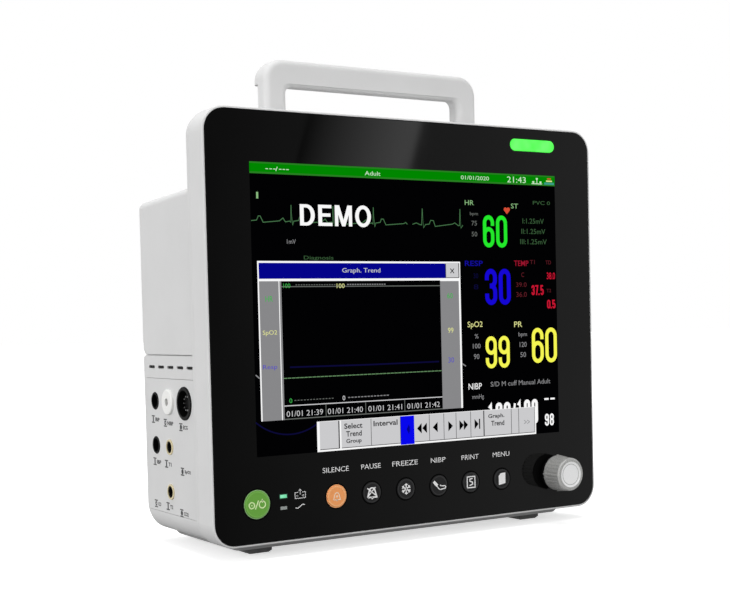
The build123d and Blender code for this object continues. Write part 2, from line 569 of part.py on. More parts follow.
def make_handle():
    """Carrying handle: an arch with a deeper grip and two flanges on the box, and its four screws."""
    foot = 88.0
    outline = drawn_arch(HANDLE_HALF_SPAN, foot, HANDLE_TOP, HANDLE_LEG_WIDTH, GRIP_UNDERSIDE,
                         HANDLE_CORNER_RADIUS, 5.0)
    arch = upright(outline, LEG_DEPTHS[0], LEG_DEPTHS[1] - LEG_DEPTHS[0])
    rims = edges_in(arch, Axis.Y, GLASS_Y + LEG_DEPTHS[0]) + edges_in(arch, Axis.Y, GLASS_Y + LEG_DEPTHS[1])
    arch = fillet(ShapeList(e for e in rims if (e @ 0.5).Z > GLASS_Z + foot + 0.001), HANDLE_EDGE_RADIUS)
    span = 2 * HANDLE_HALF_SPAN
    drawn = 3 * HANDLE_CORNER_RADIUS
    grip_sketch = Pos(0, HANDLE_TOP - drawn / 2) * RectangleRounded(span, drawn, HANDLE_CORNER_RADIUS)
    grip_sketch -= Pos(0, GRIP_BACK_UNDERSIDE - drawn / 2) * Rectangle(span, drawn)
    grip = upright(grip_sketch, LEG_DEPTHS[0], GRIP_BACK - LEG_DEPTHS[0])
    rims = edges_in(grip, Axis.Y, GLASS_Y + LEG_DEPTHS[0]) + edges_in(grip, Axis.Y, GLASS_Y + GRIP_BACK)
    high = ShapeList(e for e in rims if (e @ 0.5).Z > GLASS_Z + GRIP_BACK_UNDERSIDE + 0.001)
    grip = fillet(high, HANDLE_EDGE_RADIUS)
    arch += grip
    for side in (-1, 1):
        middle = side * HANDLE_MIDDLE
        flange = block((middle - 19, middle + 19), (42.0, 63.0), (86.0, 97.0))
        arch += fillet(flange.edges().filter_by(Axis.Z), 5.0)
    arch -= box_form(0)
    for side in (-1, 1):
        for shift in (-1, 1):
            x = side * HANDLE_MIDDLE + shift * HANDLE_SCREW_SHIFT
            arch -= rod_up(1.9, x, HANDLE_SCREW_DEPTH, 80, 15)
    save("handle", arch)
    screws = []
    for side in (-1, 1):
        for shift in (-1, 1):
            x = side * HANDLE_MIDDLE + shift * HANDLE_SCREW_SHIFT
            screw = rod_up(3.5, x, HANDLE_SCREW_DEPTH, 83.8, 2.6)
            screws.append(screw + rod_up(1.85, x, HANDLE_SCREW_DEPTH, 86.4, 8.2))
    save("handle_screws", *screws)


def make_connector_panel():
    """Left side panel with a flange inside the wall, and the patient connectors in it."""
    side = -BOX_HALF_WIDTH
    gap = 0.25
    low, high = PANEL_HEIGHTS
    front, rear = PANEL_DEPTHS
    panel = block((side, side + WALL), (front + 0.1, rear - 0.1), (low + gap, high - gap))
    panel += block((side + WALL, side + WALL + 2), (front - 2.5, rear + 2), (low - 0.9, high + 2))
    left, centre, right = CONNECTOR_COLUMNS
    top, middle, bottom = CONNECTOR_ROWS
    sockets = [(left, top, 6.05), (left, middle, 6.05), (centre, top, 8.0), (right, top, 10.95),
               (centre, middle, 5.15), (centre, bottom, 5.15)]
    for depth, height, radius in sockets:
        panel -= rod_across(radius, depth, height, side - 2, 10)
    save("connector_panel", panel)

    def socket(radius, depth, height, proud, length, bore, bore_length):
        body = rod_across(radius, depth, height, side - proud, length)
        body = chamfer(edges_in(body, Axis.X, side - proud), 0.4)
        return body - rod_across(bore, depth, height, side - proud - 1, bore_length + 1)

    pressure = []
    for height in (top, middle):
        body = socket(6.0, left, height, 0.5, 24.0, 4.7, 10.0)
        pressure.append(body + rod_across(2.3, left, height, side + 2.5, 10))
    save("ibp_sockets", *pressure)

    port = rod_across(8.4, centre, top, side - 1.8, 1.8) + rod_across(7.9, centre, top, side, 14.0)
    port = fillet(edges_in(port, Axis.X, side - 1.8), 0.8)
    port += rod_across(1.9, centre, top, side + 14, 20.0)
    port -= rod_across(2.6, centre, top, side - 3, 12)
    port -= rod_across(0.9, centre, top, side, 40)
    save("nibp_port", port)

    big = socket(10.9, right, top, 1.0, 26.0, 8.7, 8.0)
    big += rod_across(6.6, right, top, side + 3.0, 5.0)
    pins = []
    for i in range(10):
        angle = radians(36 * i)
        depth = right + 4.6 * cos(angle)
        height = top + 4.6 * sin(angle)
        big -= rod_across(0.55, depth, height, side, 12)
        pins.append(rod_across(0.5, depth, height, side + 1.4, 10))
    save("ecg_socket", big)
    save("ecg_pins", *pins)

    rings = []
    jacks = []
    for height in (middle, bottom):
        ring = rod_across(5.1, centre, height, side - 0.8, 5.8) - rod_across(4.0, centre, height, side - 1, 7)
        rings.append(ring)
        jacks.append(rod_across(3.95, centre, height, side - 0.3, 24)
                     - rod_across(3.2, centre, height, side - 1, 19))
    save("temp_jack_rings", *rings)
    save("temp_jacks", *jacks)


def make_seam_gasket():
    """Rubber ring inside the seam between the front housing and the rear shell."""
    inner = (HOUSING_WIDTH - 5.8, HOUSING_HEIGHT - 5.8)
    ring = RectangleRounded(*inner, HOUSING_RADIUS - 2.9)
    ring -= RectangleRounded(inner[0] - 3, inner[1] - 3, HOUSING_RADIUS - 4.4)
    save("seam_gasket", upright(ring, FRONT_DEPTH - 1.5, 3.0))


# ---------------------------------------------------------------- inside
def make_boards():
    """Chassis plate, main board with its cooler, patient parameter board and power board."""
    plate = block((-132.5, 132.5), (PAN_REAR, 29.5), (-120.5, 80.5))
    plate -= block((58, 92), (20, 40), (-76, -54))
    for x, height in MAIN_BOARD_SCREWS:
        plate += rod_back(3.0, x, height, 29.5, 6.5)
        plate -= rod_back(SCREW_HOLE, x, height, 20, 20)
    for x, height in PLATE_SCREWS:
        plate -= rod_back(SCREW_HOLE + 0.2, x, height, 20, 20)
    plate += block((-110.4, -108.9), (29.5, 46.0), (-112.0, -46.0))
    save("chassis_plate", plate)

    board = block((-80, 100), (36.0, 37.6), (-40, 78))
    for x, height in MAIN_BOARD_SCREWS:
        board -= rod_back(SCREW_HOLE + 0.2, x, height, 30, 10)
    for xs, heights, rise in (((-5, 30), (10, 45), 3.0), ((50, 64), (20, 34), 1.5), ((50, 64), (0, 14), 1.5),
                              ((-60, -40), (-30, -24), 6.0), ((-10, 25), (-36, -30), 7.0),
                              ((60, 90), (-36, -30), 7.0), ((-70, -62), (0, 50), 5.0)):
        board += block(xs, (37.6, 37.6 + rise), heights)
    save("main_board", board)
    cooler = block((-7.5, 32.5), (40.6, 43.6), (7.5, 47.5))
    for i in range(9):
        x = -7.5 + 4.8 * i
        cooler += block((x, x + 1.6), (43.6, 55.0), (7.5, 47.5))
    save("heatsink", cooler)

    board = block((-112.0, -110.4), (38.0, 110.0), (-120.0, -38.0))
    board -= rod_across(6.0, CONNECTOR_COLUMNS[1], CONNECTOR_ROWS[0], -120, 20)
    for depths, heights, rise in (((50, 100), (-115, -65), 9.0), ((88, 104), (-60, -44), 7.0),
                                  ((50, 64), (-60, -50), 5.0)):
        board += block((-110.4, -110.4 + rise), depths, heights)
    save("parameter_board", board)

    board = block((-135, -45), (90.0, 91.6), (-5, 75))
    for x, height in POWER_BOARD_SCREWS:
        board -= rod_back(SCREW_HOLE + 0.2, x, height, 85, 10)
    board += block((-112, -78), (91.6, 113.0), (18, 50))
    for x, height in ((-66, 20), (-66, 36), (-122, 52)):
        board += rod_back(6.0, x, height, 91.6, 20)
    board += block((-100, -60), (91.6, 104.0), (56, 60))
    save("power_board", board)


def make_display_cable():
    """Flat cable from the backlight tray, through the chassis plate, to the foot of the main board."""
    xs = (62.0, 88.0)
    thick = 0.6
    runs = [((14.6, 34.0), (-60.0, -60.0 + thick)), ((34.0 - thick, 34.0), (-60.0, -42.0)),
            ((34.0 - thick, 41.0), (-42.0 - thick, -42.0)), ((41.0 - thick, 41.0), (-42.0, -36.1))]
    cable = block(xs, *runs[0])
    for run in runs[1:]:
        cable += block(xs, *run)
    save("display_cable", cable)


def make_air_system():
    """Cuff pump, valve block and the tube to the port."""
    pump = rod_across(13.3, 75.0, -119.6, -73, 34) + rod_across(12.0, 75.0, -119.6, -39, 21)
    save("nibp_pump", pump)
    depth = CONNECTOR_COLUMNS[1]
    valve = block((-70, -50), (64.0, 84.0), (-106.0, -92.0))
    valve += rod_up(1.9, -60, depth, -92.0, 8)
    save("nibp_valve", valve)
    height = CONNECTOR_ROWS[0]
    corner = (-60, GLASS_Y + depth, GLASS_Z + height)
    route = FilletPolyline((-60, GLASS_Y + depth, GLASS_Z - 91.8), corner,
                           (-BOX_HALF_WIDTH + 25, GLASS_Y + depth, GLASS_Z + height), radius=20)
    hose = sweep(Plane(route @ 0, z_dir=route % 0) * Circle(3.1), route)
    hose -= sweep(Plane(route @ 0, z_dir=route % 0) * Circle(1.95), route)
    save("air_tube", hose)


def make_battery():
    """Battery pack in its bay, and the hinged door over it."""
    pack = block((BATTERY_X[0] + 2.8, BATTERY_X[1] - 2.8), (50.2, BOX_REAR - WALL - 1), (-114.9, -75.1))
    pack = fillet(pack.edges().filter_by(Axis.Y), 4.0)
    save("battery_pack", pack)
    depth, height = battery_pivot()
    xs = (BATTERY_X[0] + DOOR_GAP, BATTERY_X[1] - DOOR_GAP)
    door = block(xs, (BOX_REAR - WALL, BOX_REAR), (height, BATTERY_HEIGHTS[1] - DOOR_GAP))
    door += rod_across(WALL / 2, depth, height, xs[0], xs[1] - xs[0])
    door += rod_across(HINGE_PIN_RADIUS, depth, height, xs[0] - HINGE_PIN_LENGTH,
                       xs[1] - xs[0] + 2 * HINGE_PIN_LENGTH)
    for i in range(5):
        rib = BATTERY_HEIGHTS[1] - 9 + 1.6 * i
        door -= block((20, 50), (BOX_REAR - 0.5, BOX_REAR + 1), (rib, rib + 0.8))
    save("battery_door", door)


def make_rear_fittings():
    """Speaker, mains inlet, earth stud and the panel of data ports."""
    cone = [(0, 0), (12, 0), (12, 7), (24, 14), (26, 14), (26, 17.5), (22, 17.5), (8, 10), (0, 10)]
    speaker = revolve(Plane.XZ * Polygon(*cone, align=None), Axis.Z)
    place = Pos(SPEAKER_X, GLASS_Y + BOX_REAR - WALL - 17.5, GLASS_Z + SPEAKER_HEIGHT) * Rot(-90, 0, 0)
    save("speaker", place * speaker)

    inlet = block((INLET_X[0] + 0.1, INLET_X[1] - 0.1), (99.0, BOX_REAR),
                  (INLET_HEIGHTS[0] + 0.1, INLET_HEIGHTS[1] - 0.1))
    inlet += block((INLET_X[0] - 5, INLET_X[1] + 5), (BOX_REAR - WALL - 2, BOX_REAR - WALL),
                   (INLET_HEIGHTS[0] - 2, INLET_HEIGHTS[1] + 2))
    x = sum(INLET_X) / 2
    height = sum(INLET_HEIGHTS) / 2
    inlet -= upright(Pos(x, height) * RectangleRounded(24, 16.4, 3), BOX_REAR - 17, 20)
    for shift, lift in ((0, 3.0), (-7, -2.0), (7, -2.0)):
        inlet += block((x + shift - 1, x + shift + 1), (BOX_REAR - 18, BOX_REAR - 5),
                       (height + lift - 2, height + lift + 2))
    save("ac_inlet", inlet)

    stud = rod_back(3.0, EARTH_X, EARTH_HEIGHT, BOX_REAR - 19, 18.5)
    stud += upright(Pos(EARTH_X, EARTH_HEIGHT) * RegularPolygon(6.0, 6), BOX_REAR - 12.5, 4)
    save("earth_terminal", stud)

    middle = sum(PORTS_HEIGHTS) / 2
    gap = 0.2
    ports = block((PORTS_X[0] + gap, PORTS_X[1] - gap), (BOX_REAR - WALL, BOX_REAR - 0.6),
                  (PORTS_HEIGHTS[0] + gap, PORTS_HEIGHTS[1] - gap))
    ports += block((PORTS_X[0] - 3, PORTS_X[1] + 3), (BOX_REAR - WALL - 2, BOX_REAR - WALL),
                   (PORTS_HEIGHTS[0] - 3, PORTS_HEIGHTS[1] + 3))
    for x, wide, tall, deep in PORT_CUTS:
        ports += block((x - wide / 2 - 1.2, x + wide / 2 + 1.2), (BOX_REAR - deep - 6, BOX_REAR - WALL),
                       (middle - tall / 2 - 1.2, middle + tall / 2 + 1.2))
        ports -= block((x - wide / 2, x + wide / 2), (BOX_REAR - deep, BOX_REAR + 2),
                       (middle - tall / 2, middle + tall / 2))
    save("rear_port_plate", ports)


def make_recorder():
    """Strip recorder in the right side: tray, hinged door with the platen roller, paper and print head."""
    front, rear = RECORDER_DEPTHS
    low, high = RECORDER_HEIGHTS
    face = BOX_HALF_WIDTH
    gap = 0.2
    tray = block((RECORDER_INNER_X, face - WALL), (front + 1, rear - 1), (low + 1, high - 1))
    tray += block((face - WALL, face), (front + gap, rear - gap), (low + gap, high - gap))
    tray += block((face - WALL - 2, face - WALL), (front - 2, rear + 2), (low - 2, high + 2))
    tray -= block((RECORDER_INNER_X + 1.6, face - WALL), (front + 2.6, rear - 2.6), (low + 3, high - 3))
    door_depths = (front + 4, rear - 4)
    door_heights = (low + 4, high - 4)
    tray -= block((face - WALL - 5, face + 5), door_depths, door_heights)
    for start in (front + 2, rear - 7.6):
        tray += rod_back(5.9, ROLL_X, ROLL_HEIGHT, start, 5.6)
    pivot_x = face - WALL / 2
    pivot_height = door_heights[0] + DOOR_GAP + WALL / 2
    inner = (door_depths[0] + DOOR_GAP, door_depths[1] - DOOR_GAP)
    pin_hole = HINGE_PIN_RADIUS + HINGE_CLEARANCE
    tray -= rod_back(pin_hole, pivot_x, pivot_height, front + 1.8, rear - front - 3.6)
    save("recorder_housing", tray)

    door = block((face - WALL, face), inner, (pivot_height, door_heights[1] - 1.2))
    door += rod_back(WALL / 2, pivot_x, pivot_height, inner[0], inner[1] - inner[0])
    door += rod_back(HINGE_PIN_RADIUS, pivot_x, pivot_height, inner[0] - HINGE_PIN_LENGTH,
                     inner[1] - inner[0] + 2 * HINGE_PIN_LENGTH)
    axle_hole = 1.55
    for start in (inner[0] + 0.2, inner[1] - 2.2):
        ear_heights = (PLATEN_HEIGHT - 5, PLATEN_HEIGHT + 4.5)
        ear = block((PLATEN_X - 3.5, face - WALL), (start, start + 2), ear_heights)
        door += ear - rod_back(axle_hole, PLATEN_X, PLATEN_HEIGHT, start - 1, 4)
    door -= block((face - 0.6, face + 1), (68, 82), (-58, -52))
    save("recorder_door", door)

    platen = rod_back(PLATEN_RADIUS, PLATEN_X, PLATEN_HEIGHT, inner[0] + 2.6, inner[1] - inner[0] - 5.2)
    platen += rod_back(1.5, PLATEN_X, PLATEN_HEIGHT, inner[0] + 0.4, inner[1] - inner[0] - 0.8)
    save("platen_roller", platen)
    roll = rod_back(ROLL_RADIUS, ROLL_X, ROLL_HEIGHT, 52.0, 46.0)
    roll -= rod_back(6.0, ROLL_X, ROLL_HEIGHT, 50, 50)
    save("paper_roll", roll)
    head = block((127.0, 135.4), (52.0, 98.0), (-57.0, -45.2))
    save("print_head", head)


def make_screws():
    """Case screws, which hold the shells and the plinth, and the shorter screws inside."""
    screws = [case_screw(x, height, PAN_REAR) for x, height in CORNER_SCREWS]
    screws += [case_screw(x, height, PAN_REAR + 3) for x, height in DEEP_SCREWS]
    head_bottom = BASE_BOTTOM + 2.6 - HEAD_HEIGHT
    for x, depth in BASE_SCREWS:
        screw = rod_up(HEAD_RADIUS, x, depth, head_bottom, HEAD_HEIGHT)
        screw -= level(recess(x, depth), head_bottom - RECESS_DEPTH, 2 * RECESS_DEPTH)
        screws.append(screw + rod_up(SCREW_RADIUS, x, depth, head_bottom + HEAD_HEIGHT, 9.0))
    save("case_screws", *screws)
    inside = [board_screw(x, height, 17.0) for x, height in BRACKET_SCREWS]
    inside += [board_screw(x, height, BOARD_FRONT + 1.6) for x, height in KEY_BOARD_SCREWS]
    inside += [board_screw(x, height, 29.5) for x, height in PLATE_SCREWS]
    inside += [board_screw(x, height, 37.6) for x, height in MAIN_BOARD_SCREWS]
    for x, height in POWER_BOARD_SCREWS:
        head = rod_back(HEAD_RADIUS, x, height, 90.0 - HEAD_HEIGHT, HEAD_HEIGHT)
        head -= upright(recess(x, height), 90.0 - HEAD_HEIGHT - RECESS_DEPTH, 2 * RECESS_DEPTH)
        inside.append(head + rod_back(SCREW_RADIUS, x, height, 90.0, 8.0))
    save("internal_screws", *inside)


make_front_housing()
make_glass()
make_display()
make_lights()
make_key("power_button", POWER_KEY_X, POWER_KEY_RADIUS)
for key_name, key_x in zip(KEY_NAMES, key_xs()):
    make_key(key_name, key_x, KEY_RADIUS)
make_key_board()
make_knob()
make_rear_shells()
make_base()
make_handle()
make_connector_panel()
make_seam_gasket()
make_boards()
make_display_cable()
make_air_system()
make_battery()
make_rear_fittings()
make_recorder()
make_screws()
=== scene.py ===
"""Looks of the patient monitor: materials, printed marks, screen picture, lights and camera."""
import json
import math

import bmesh
import bpy
from mathutils import Matrix, Vector


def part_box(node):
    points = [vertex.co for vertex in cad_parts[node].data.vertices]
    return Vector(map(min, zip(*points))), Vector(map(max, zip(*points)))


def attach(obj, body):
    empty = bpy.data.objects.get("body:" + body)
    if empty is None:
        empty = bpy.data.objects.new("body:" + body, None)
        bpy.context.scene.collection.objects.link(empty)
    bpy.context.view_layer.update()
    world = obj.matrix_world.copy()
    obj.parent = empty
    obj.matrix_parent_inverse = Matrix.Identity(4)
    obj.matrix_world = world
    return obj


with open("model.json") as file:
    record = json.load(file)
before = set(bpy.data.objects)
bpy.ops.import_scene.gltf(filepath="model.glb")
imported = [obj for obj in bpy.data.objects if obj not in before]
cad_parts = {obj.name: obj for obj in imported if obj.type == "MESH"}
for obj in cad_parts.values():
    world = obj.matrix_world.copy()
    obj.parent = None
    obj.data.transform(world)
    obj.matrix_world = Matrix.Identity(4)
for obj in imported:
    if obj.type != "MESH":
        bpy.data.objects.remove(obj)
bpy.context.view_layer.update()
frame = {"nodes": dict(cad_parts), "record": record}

MM = 0.001
INK = 0.03  # thickness of one printed layer, in millimetres
DOT_PITCH = 0.3075  # distance between the dots of the screen, in millimetres
DOUBLED = 0.0005  # points of a letter this close are one, in heights of the letter

scene = bpy.context.scene
collection = scene.collection

glass_low, glass_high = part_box("front_glass")
GLASS_FRONT = glass_low.y
GLASS_MIDDLE = Vector((0.0, GLASS_FRONT, (glass_low.z + glass_high.z) / 2))


# -------- materials
def srgb(red, green, blue):
    """Linear colour of a display colour given as three values from 0 to 255."""
    linear = []
    for value in (red, green, blue):
        share = value / 255
        linear.append(share / 12.92 if share <= 0.04045 else ((share + 0.055) / 1.055) ** 2.4)
    return (*linear, 1.0)


def feed(made, inputs):
    """Sets inputs of a shader node, each to a fixed value or to the output of another node."""
    for name, value in inputs.items():
        if isinstance(value, bpy.types.NodeSocket):
            made.id_data.links.new(value, made.inputs[name])
        else:
            made.inputs[name].default_value = value


def node(tree, kind, inputs=None, **settings):
    """A new shader node, with the given attributes and inputs."""
    made = tree.nodes.new("ShaderNode" + kind)
    for name, value in settings.items():
        setattr(made, name, value)
    feed(made, inputs or {})
    return made


def math_node(tree, operation, *terms):
    """The result of a sum on two or three sockets or numbers."""
    return node(tree, "Math", dict(enumerate(terms)), operation=operation).outputs["Value"]


def emptied_tree(owner):
    """The node tree of a material or world, without nodes."""
    owner.use_nodes = True
    owner.node_tree.nodes.clear()
    return owner.node_tree


def surface(name):
    """An empty material: its node tree, its surface shader and object coordinates."""
    material = bpy.data.materials.new(name)
    tree = emptied_tree(material)
    shader = node(tree, "BsdfPrincipled")
    node(tree, "OutputMaterial", {"Surface": shader.outputs["BSDF"]})
    place = node(tree, "TexCoord")
    return material, tree, shader, place.outputs["Object"]


def noise(tree, place, size, detail=2.0, stretch=None):
    """Noise with features about as large as the given size in millimetres."""
    if stretch is not None:
        mapping = node(tree, "Mapping", {"Scale": stretch, "Vector": place})
        place = mapping.outputs["Vector"]
    made = node(tree, "TexNoise", {"Scale": 1 / (size * MM), "Detail": detail, "Vector": place})
    return made.outputs["Fac"]


def ranged(tree, value, known, wanted):
    """A value carried over from one range to another."""
    limits = {"From Min": known[0], "From Max": known[1], "To Min": wanted[0], "To Max": wanted[1]}
    return node(tree, "MapRange", {"Value": value, **limits}).outputs["Result"]


def spread(tree, value, low, high):
    """A value that follows the noise between two limits."""
    return ranged(tree, value, (0.3, 0.7), (low, high))


def blended(tree, value, first, second):
    """A colour that follows the noise between two colours."""
    made = node(tree, "Mix", data_type="RGBA")
    feed(made, {"Factor": value, "A": first, "B": second})
    return made.outputs["Result"]


def scaled(colour, by):
    """The colour made lighter or darker."""
    return (*(min(1.0, part * by) for part in colour[:3]), 1.0)


def bumped(tree, shader, value, depth):
    """A bump as deep as the given millimetres."""
    made = node(tree, "Bump", {"Distance": depth * MM, "Height": value})
    feed(shader, {"Normal": made.outputs["Normal"]})


def plastic(name, colour, roughness=0.45, grain=0.5, depth=0.03, specular=0.5):
    """Moulded plastic: a fine spark-eroded grain, with slightly uneven colour and gloss."""
    material, tree, shader, place = surface(name)
    cloud = spread(tree, noise(tree, place, 35, 3), 0, 1)
    tint = blended(tree, cloud, scaled(colour, 0.98), scaled(colour, 1.02))
    gloss = spread(tree, noise(tree, place, 6, 4), roughness * 0.92, roughness * 1.08)
    feed(shader, {"Base Color": tint, "Roughness": gloss, "Specular IOR Level": specular})
    bumped(tree, shader, noise(tree, place, grain, 3), depth)
    return material


def cover_glass(name):
    """Black-backed cover glass: almost a mirror, with faint wiping marks."""
    material, tree, shader, place = surface(name)
    cloud = spread(tree, noise(tree, place, 60, 2), 0, 1)
    tint = blended(tree, cloud, srgb(9, 9, 9), srgb(12, 12, 12))
    wiped = spread(tree, noise(tree, place, 40, 5, stretch=(1, 1, 0.3)), 0.03, 0.06)
    feed(shader, {"Base Color": tint, "Roughness": wiped, "Specular IOR Level": 0.2})
    return material


def metal(name, colour, roughness=0.3, brush=None, purity=1.0):
    """Metal, or metallic paint at a purity below 1, with brushed or turned marks."""
    material, tree, shader, place = surface(name)
    marks = noise(tree, place, 0.6, 4, stretch=brush)
    tint = blended(tree, spread(tree, marks, 0, 1), scaled(colour, 0.9), scaled(colour, 1.08))
    gloss = spread(tree, marks, roughness * 0.8, roughness * 1.25)
    feed(shader, {"Base Color": tint, "Roughness": gloss, "Metallic": purity})
    bumped(tree, shader, marks, 0.01)
    return material


def rubber(name, colour):
    """Moulded rubber: dull, with a dusty bloom."""
    material, tree, shader, place = surface(name)
    bloom = blended(tree, spread(tree, noise(tree, place, 3, 5), 0, 1), colour, scaled(colour, 1.35))
    gloss = spread(tree, noise(tree, place, 5, 3), 0.7, 0.9)
    feed(shader, {"Base Color": bloom, "Roughness": gloss})
    bumped(tree, shader, noise(tree, place, 0.8, 4), 0.05)
    return material


def lit_lens(name, colour, edge, strength):
    """Frosted lens lit from behind, brighter in patches over its light sources."""
    material, tree, shader, place = surface(name)
    glow = blended(tree, spread(tree, noise(tree, place, 9, 1), 0, 1), edge, colour)
    feed(shader, {"Base Color": glow, "Emission Color": glow, "Emission Strength": strength,
                  "Roughness": 0.25})
    bumped(tree, shader, noise(tree, place, 0.7, 2), 0.02)
    return material


def screen_ink(name, colour):
    """Light of the picture, with the faint grid of the panel's dots."""
    material, tree, shader, place = surface(name)
    wave_inputs = {"Scale": 1 / (DOT_PITCH * MM) / math.tau, "Distortion": 0.0, "Vector": place}
    bands = [node(tree, "TexWave", wave_inputs, bands_direction=axis).outputs["Fac"]
             for axis in ("X", "Z")]
    glow = blended(tree, math_node(tree, "MULTIPLY", *bands), scaled(colour, 0.93), scaled(colour, 1.05))
    feed(shader, {"Emission Color": glow, "Emission Strength": 1.0, "Base Color": (0.0, 0.0, 0.0, 1.0),
                  "Roughness": 0.35, "Specular IOR Level": 0.0})
    return material


def printed(name, colour, roughness=0.45, specular=0.5):
    """Screen-printed ink with a slightly uneven coat."""
    material, tree, shader, place = surface(name)
    coat = blended(tree, spread(tree, noise(tree, place, 0.9, 3), 0, 1), scaled(colour, 0.9), colour)
    feed(shader, {"Base Color": coat, "Roughness": roughness, "Specular IOR Level": specular})
    return material


def circuit_board():
    """Green solder mask with faint tracks under it."""
    material, tree, shader, place = surface("circuit_board")
    tracks = node(tree, "TexVoronoi", {"Scale": 1 / (4 * MM), "Vector": place},
                  distance="MANHATTAN")
    tint = blended(tree, tracks.outputs["Distance"], srgb(12, 70, 38), srgb(26, 110, 60))
    feed(shader, {"Base Color": tint, "Roughness": spread(tree, noise(tree, place, 4), 0.3, 0.45)})
    return material


def make_node_materials():
    """One material for each material slot of the record, by the name of the slot.

    Blender adds a full stop and a number to a name that the frame already uses.
    """
    made = [
        plastic("housing_plastic", srgb(214, 214, 214), 0.5, grain=0.45, depth=0.035, specular=0.2),
        plastic("base_plastic", srgb(150, 150, 150), 0.5),
        cover_glass("black_glass"),
        lit_lens("alarm_lens", srgb(84, 232, 84), srgb(60, 205, 60), 0.95),
        lit_lens("green_lens", srgb(110, 190, 150), srgb(60, 160, 110), 0.9),
        plastic("clear_lens", srgb(156, 162, 159), 0.3, depth=0.01),
        plastic("power_key", srgb(104, 170, 58), 0.4, grain=0.4, depth=0.015),
        plastic("silence_key", srgb(250, 164, 96), 0.4, grain=0.4, depth=0.015),
        plastic("dark_key", srgb(27, 27, 28), 0.42, grain=0.4, depth=0.02, specular=0.25),
        plastic("black_plastic", srgb(9, 9, 10), 0.5, depth=0.02, specular=0.12),
        plastic("white_plastic", srgb(238, 238, 236), 0.3, depth=0.01),
        metal("knob_silver", srgb(192, 192, 190), 0.3, purity=0.3),
        plastic("knob_pale", srgb(248, 248, 248), 0.3, depth=0.008),
        rubber("foot_rubber", srgb(70, 70, 70)),
        rubber("black_rubber", srgb(28, 28, 28)),
        plastic("clear_rubber", srgb(205, 205, 198), 0.35, depth=0.01),
        plastic("lcd", srgb(14, 14, 16), 0.3, depth=0.004),
        metal("steel", srgb(186, 186, 186), 0.28),
        metal("sheet_steel", srgb(176, 178, 180), 0.4, brush=(1, 1, 12)),
        metal("screw_steel", srgb(150, 150, 152), 0.3),
        plastic("pump_metal", srgb(92, 94, 98), 0.35, depth=0.01),
        metal("aluminium", srgb(205, 206, 208), 0.35, brush=(1, 1, 14)),
        metal("brass", srgb(234, 220, 178), 0.22, purity=0.6),
        circuit_board(),
        plastic("cable_film", srgb(190, 130, 60), 0.3, depth=0.01),
        plastic("battery_wrap", srgb(52, 70, 120), 0.35, depth=0.01),
        plastic("paper", srgb(240, 240, 236), 0.7, depth=0.02),
    ]
    return {material.name.split(".")[0]: material for material in made}


def dress_nodes(materials):
    """Gives each CAD node the material of its slot."""
    for part in frame["record"]["subparts"]:
        shape = frame["nodes"][part["node"]].data
        shape.materials.clear()
        shape.materials.append(materials[part["material_slot"]])


def object_from(name, mesh, materials):
    """A new object with the faces of an edited mesh, in the given materials."""
    data = bpy.data.meshes.new(name)
    mesh.to_mesh(data)
    mesh.free()
    for material in materials:
        data.materials.append(material)
    made = bpy.data.objects.new(name, data)
    collection.objects.link(made)
    return made


def piece_from(name, mesh, materials, body):
    """A piece of the monitor, which rides on a body and takes its finish from a slot."""
    bmesh.ops.recalc_face_normals(mesh, faces=mesh.faces)
    piece = object_from(name, mesh, materials)
    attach(piece, body)


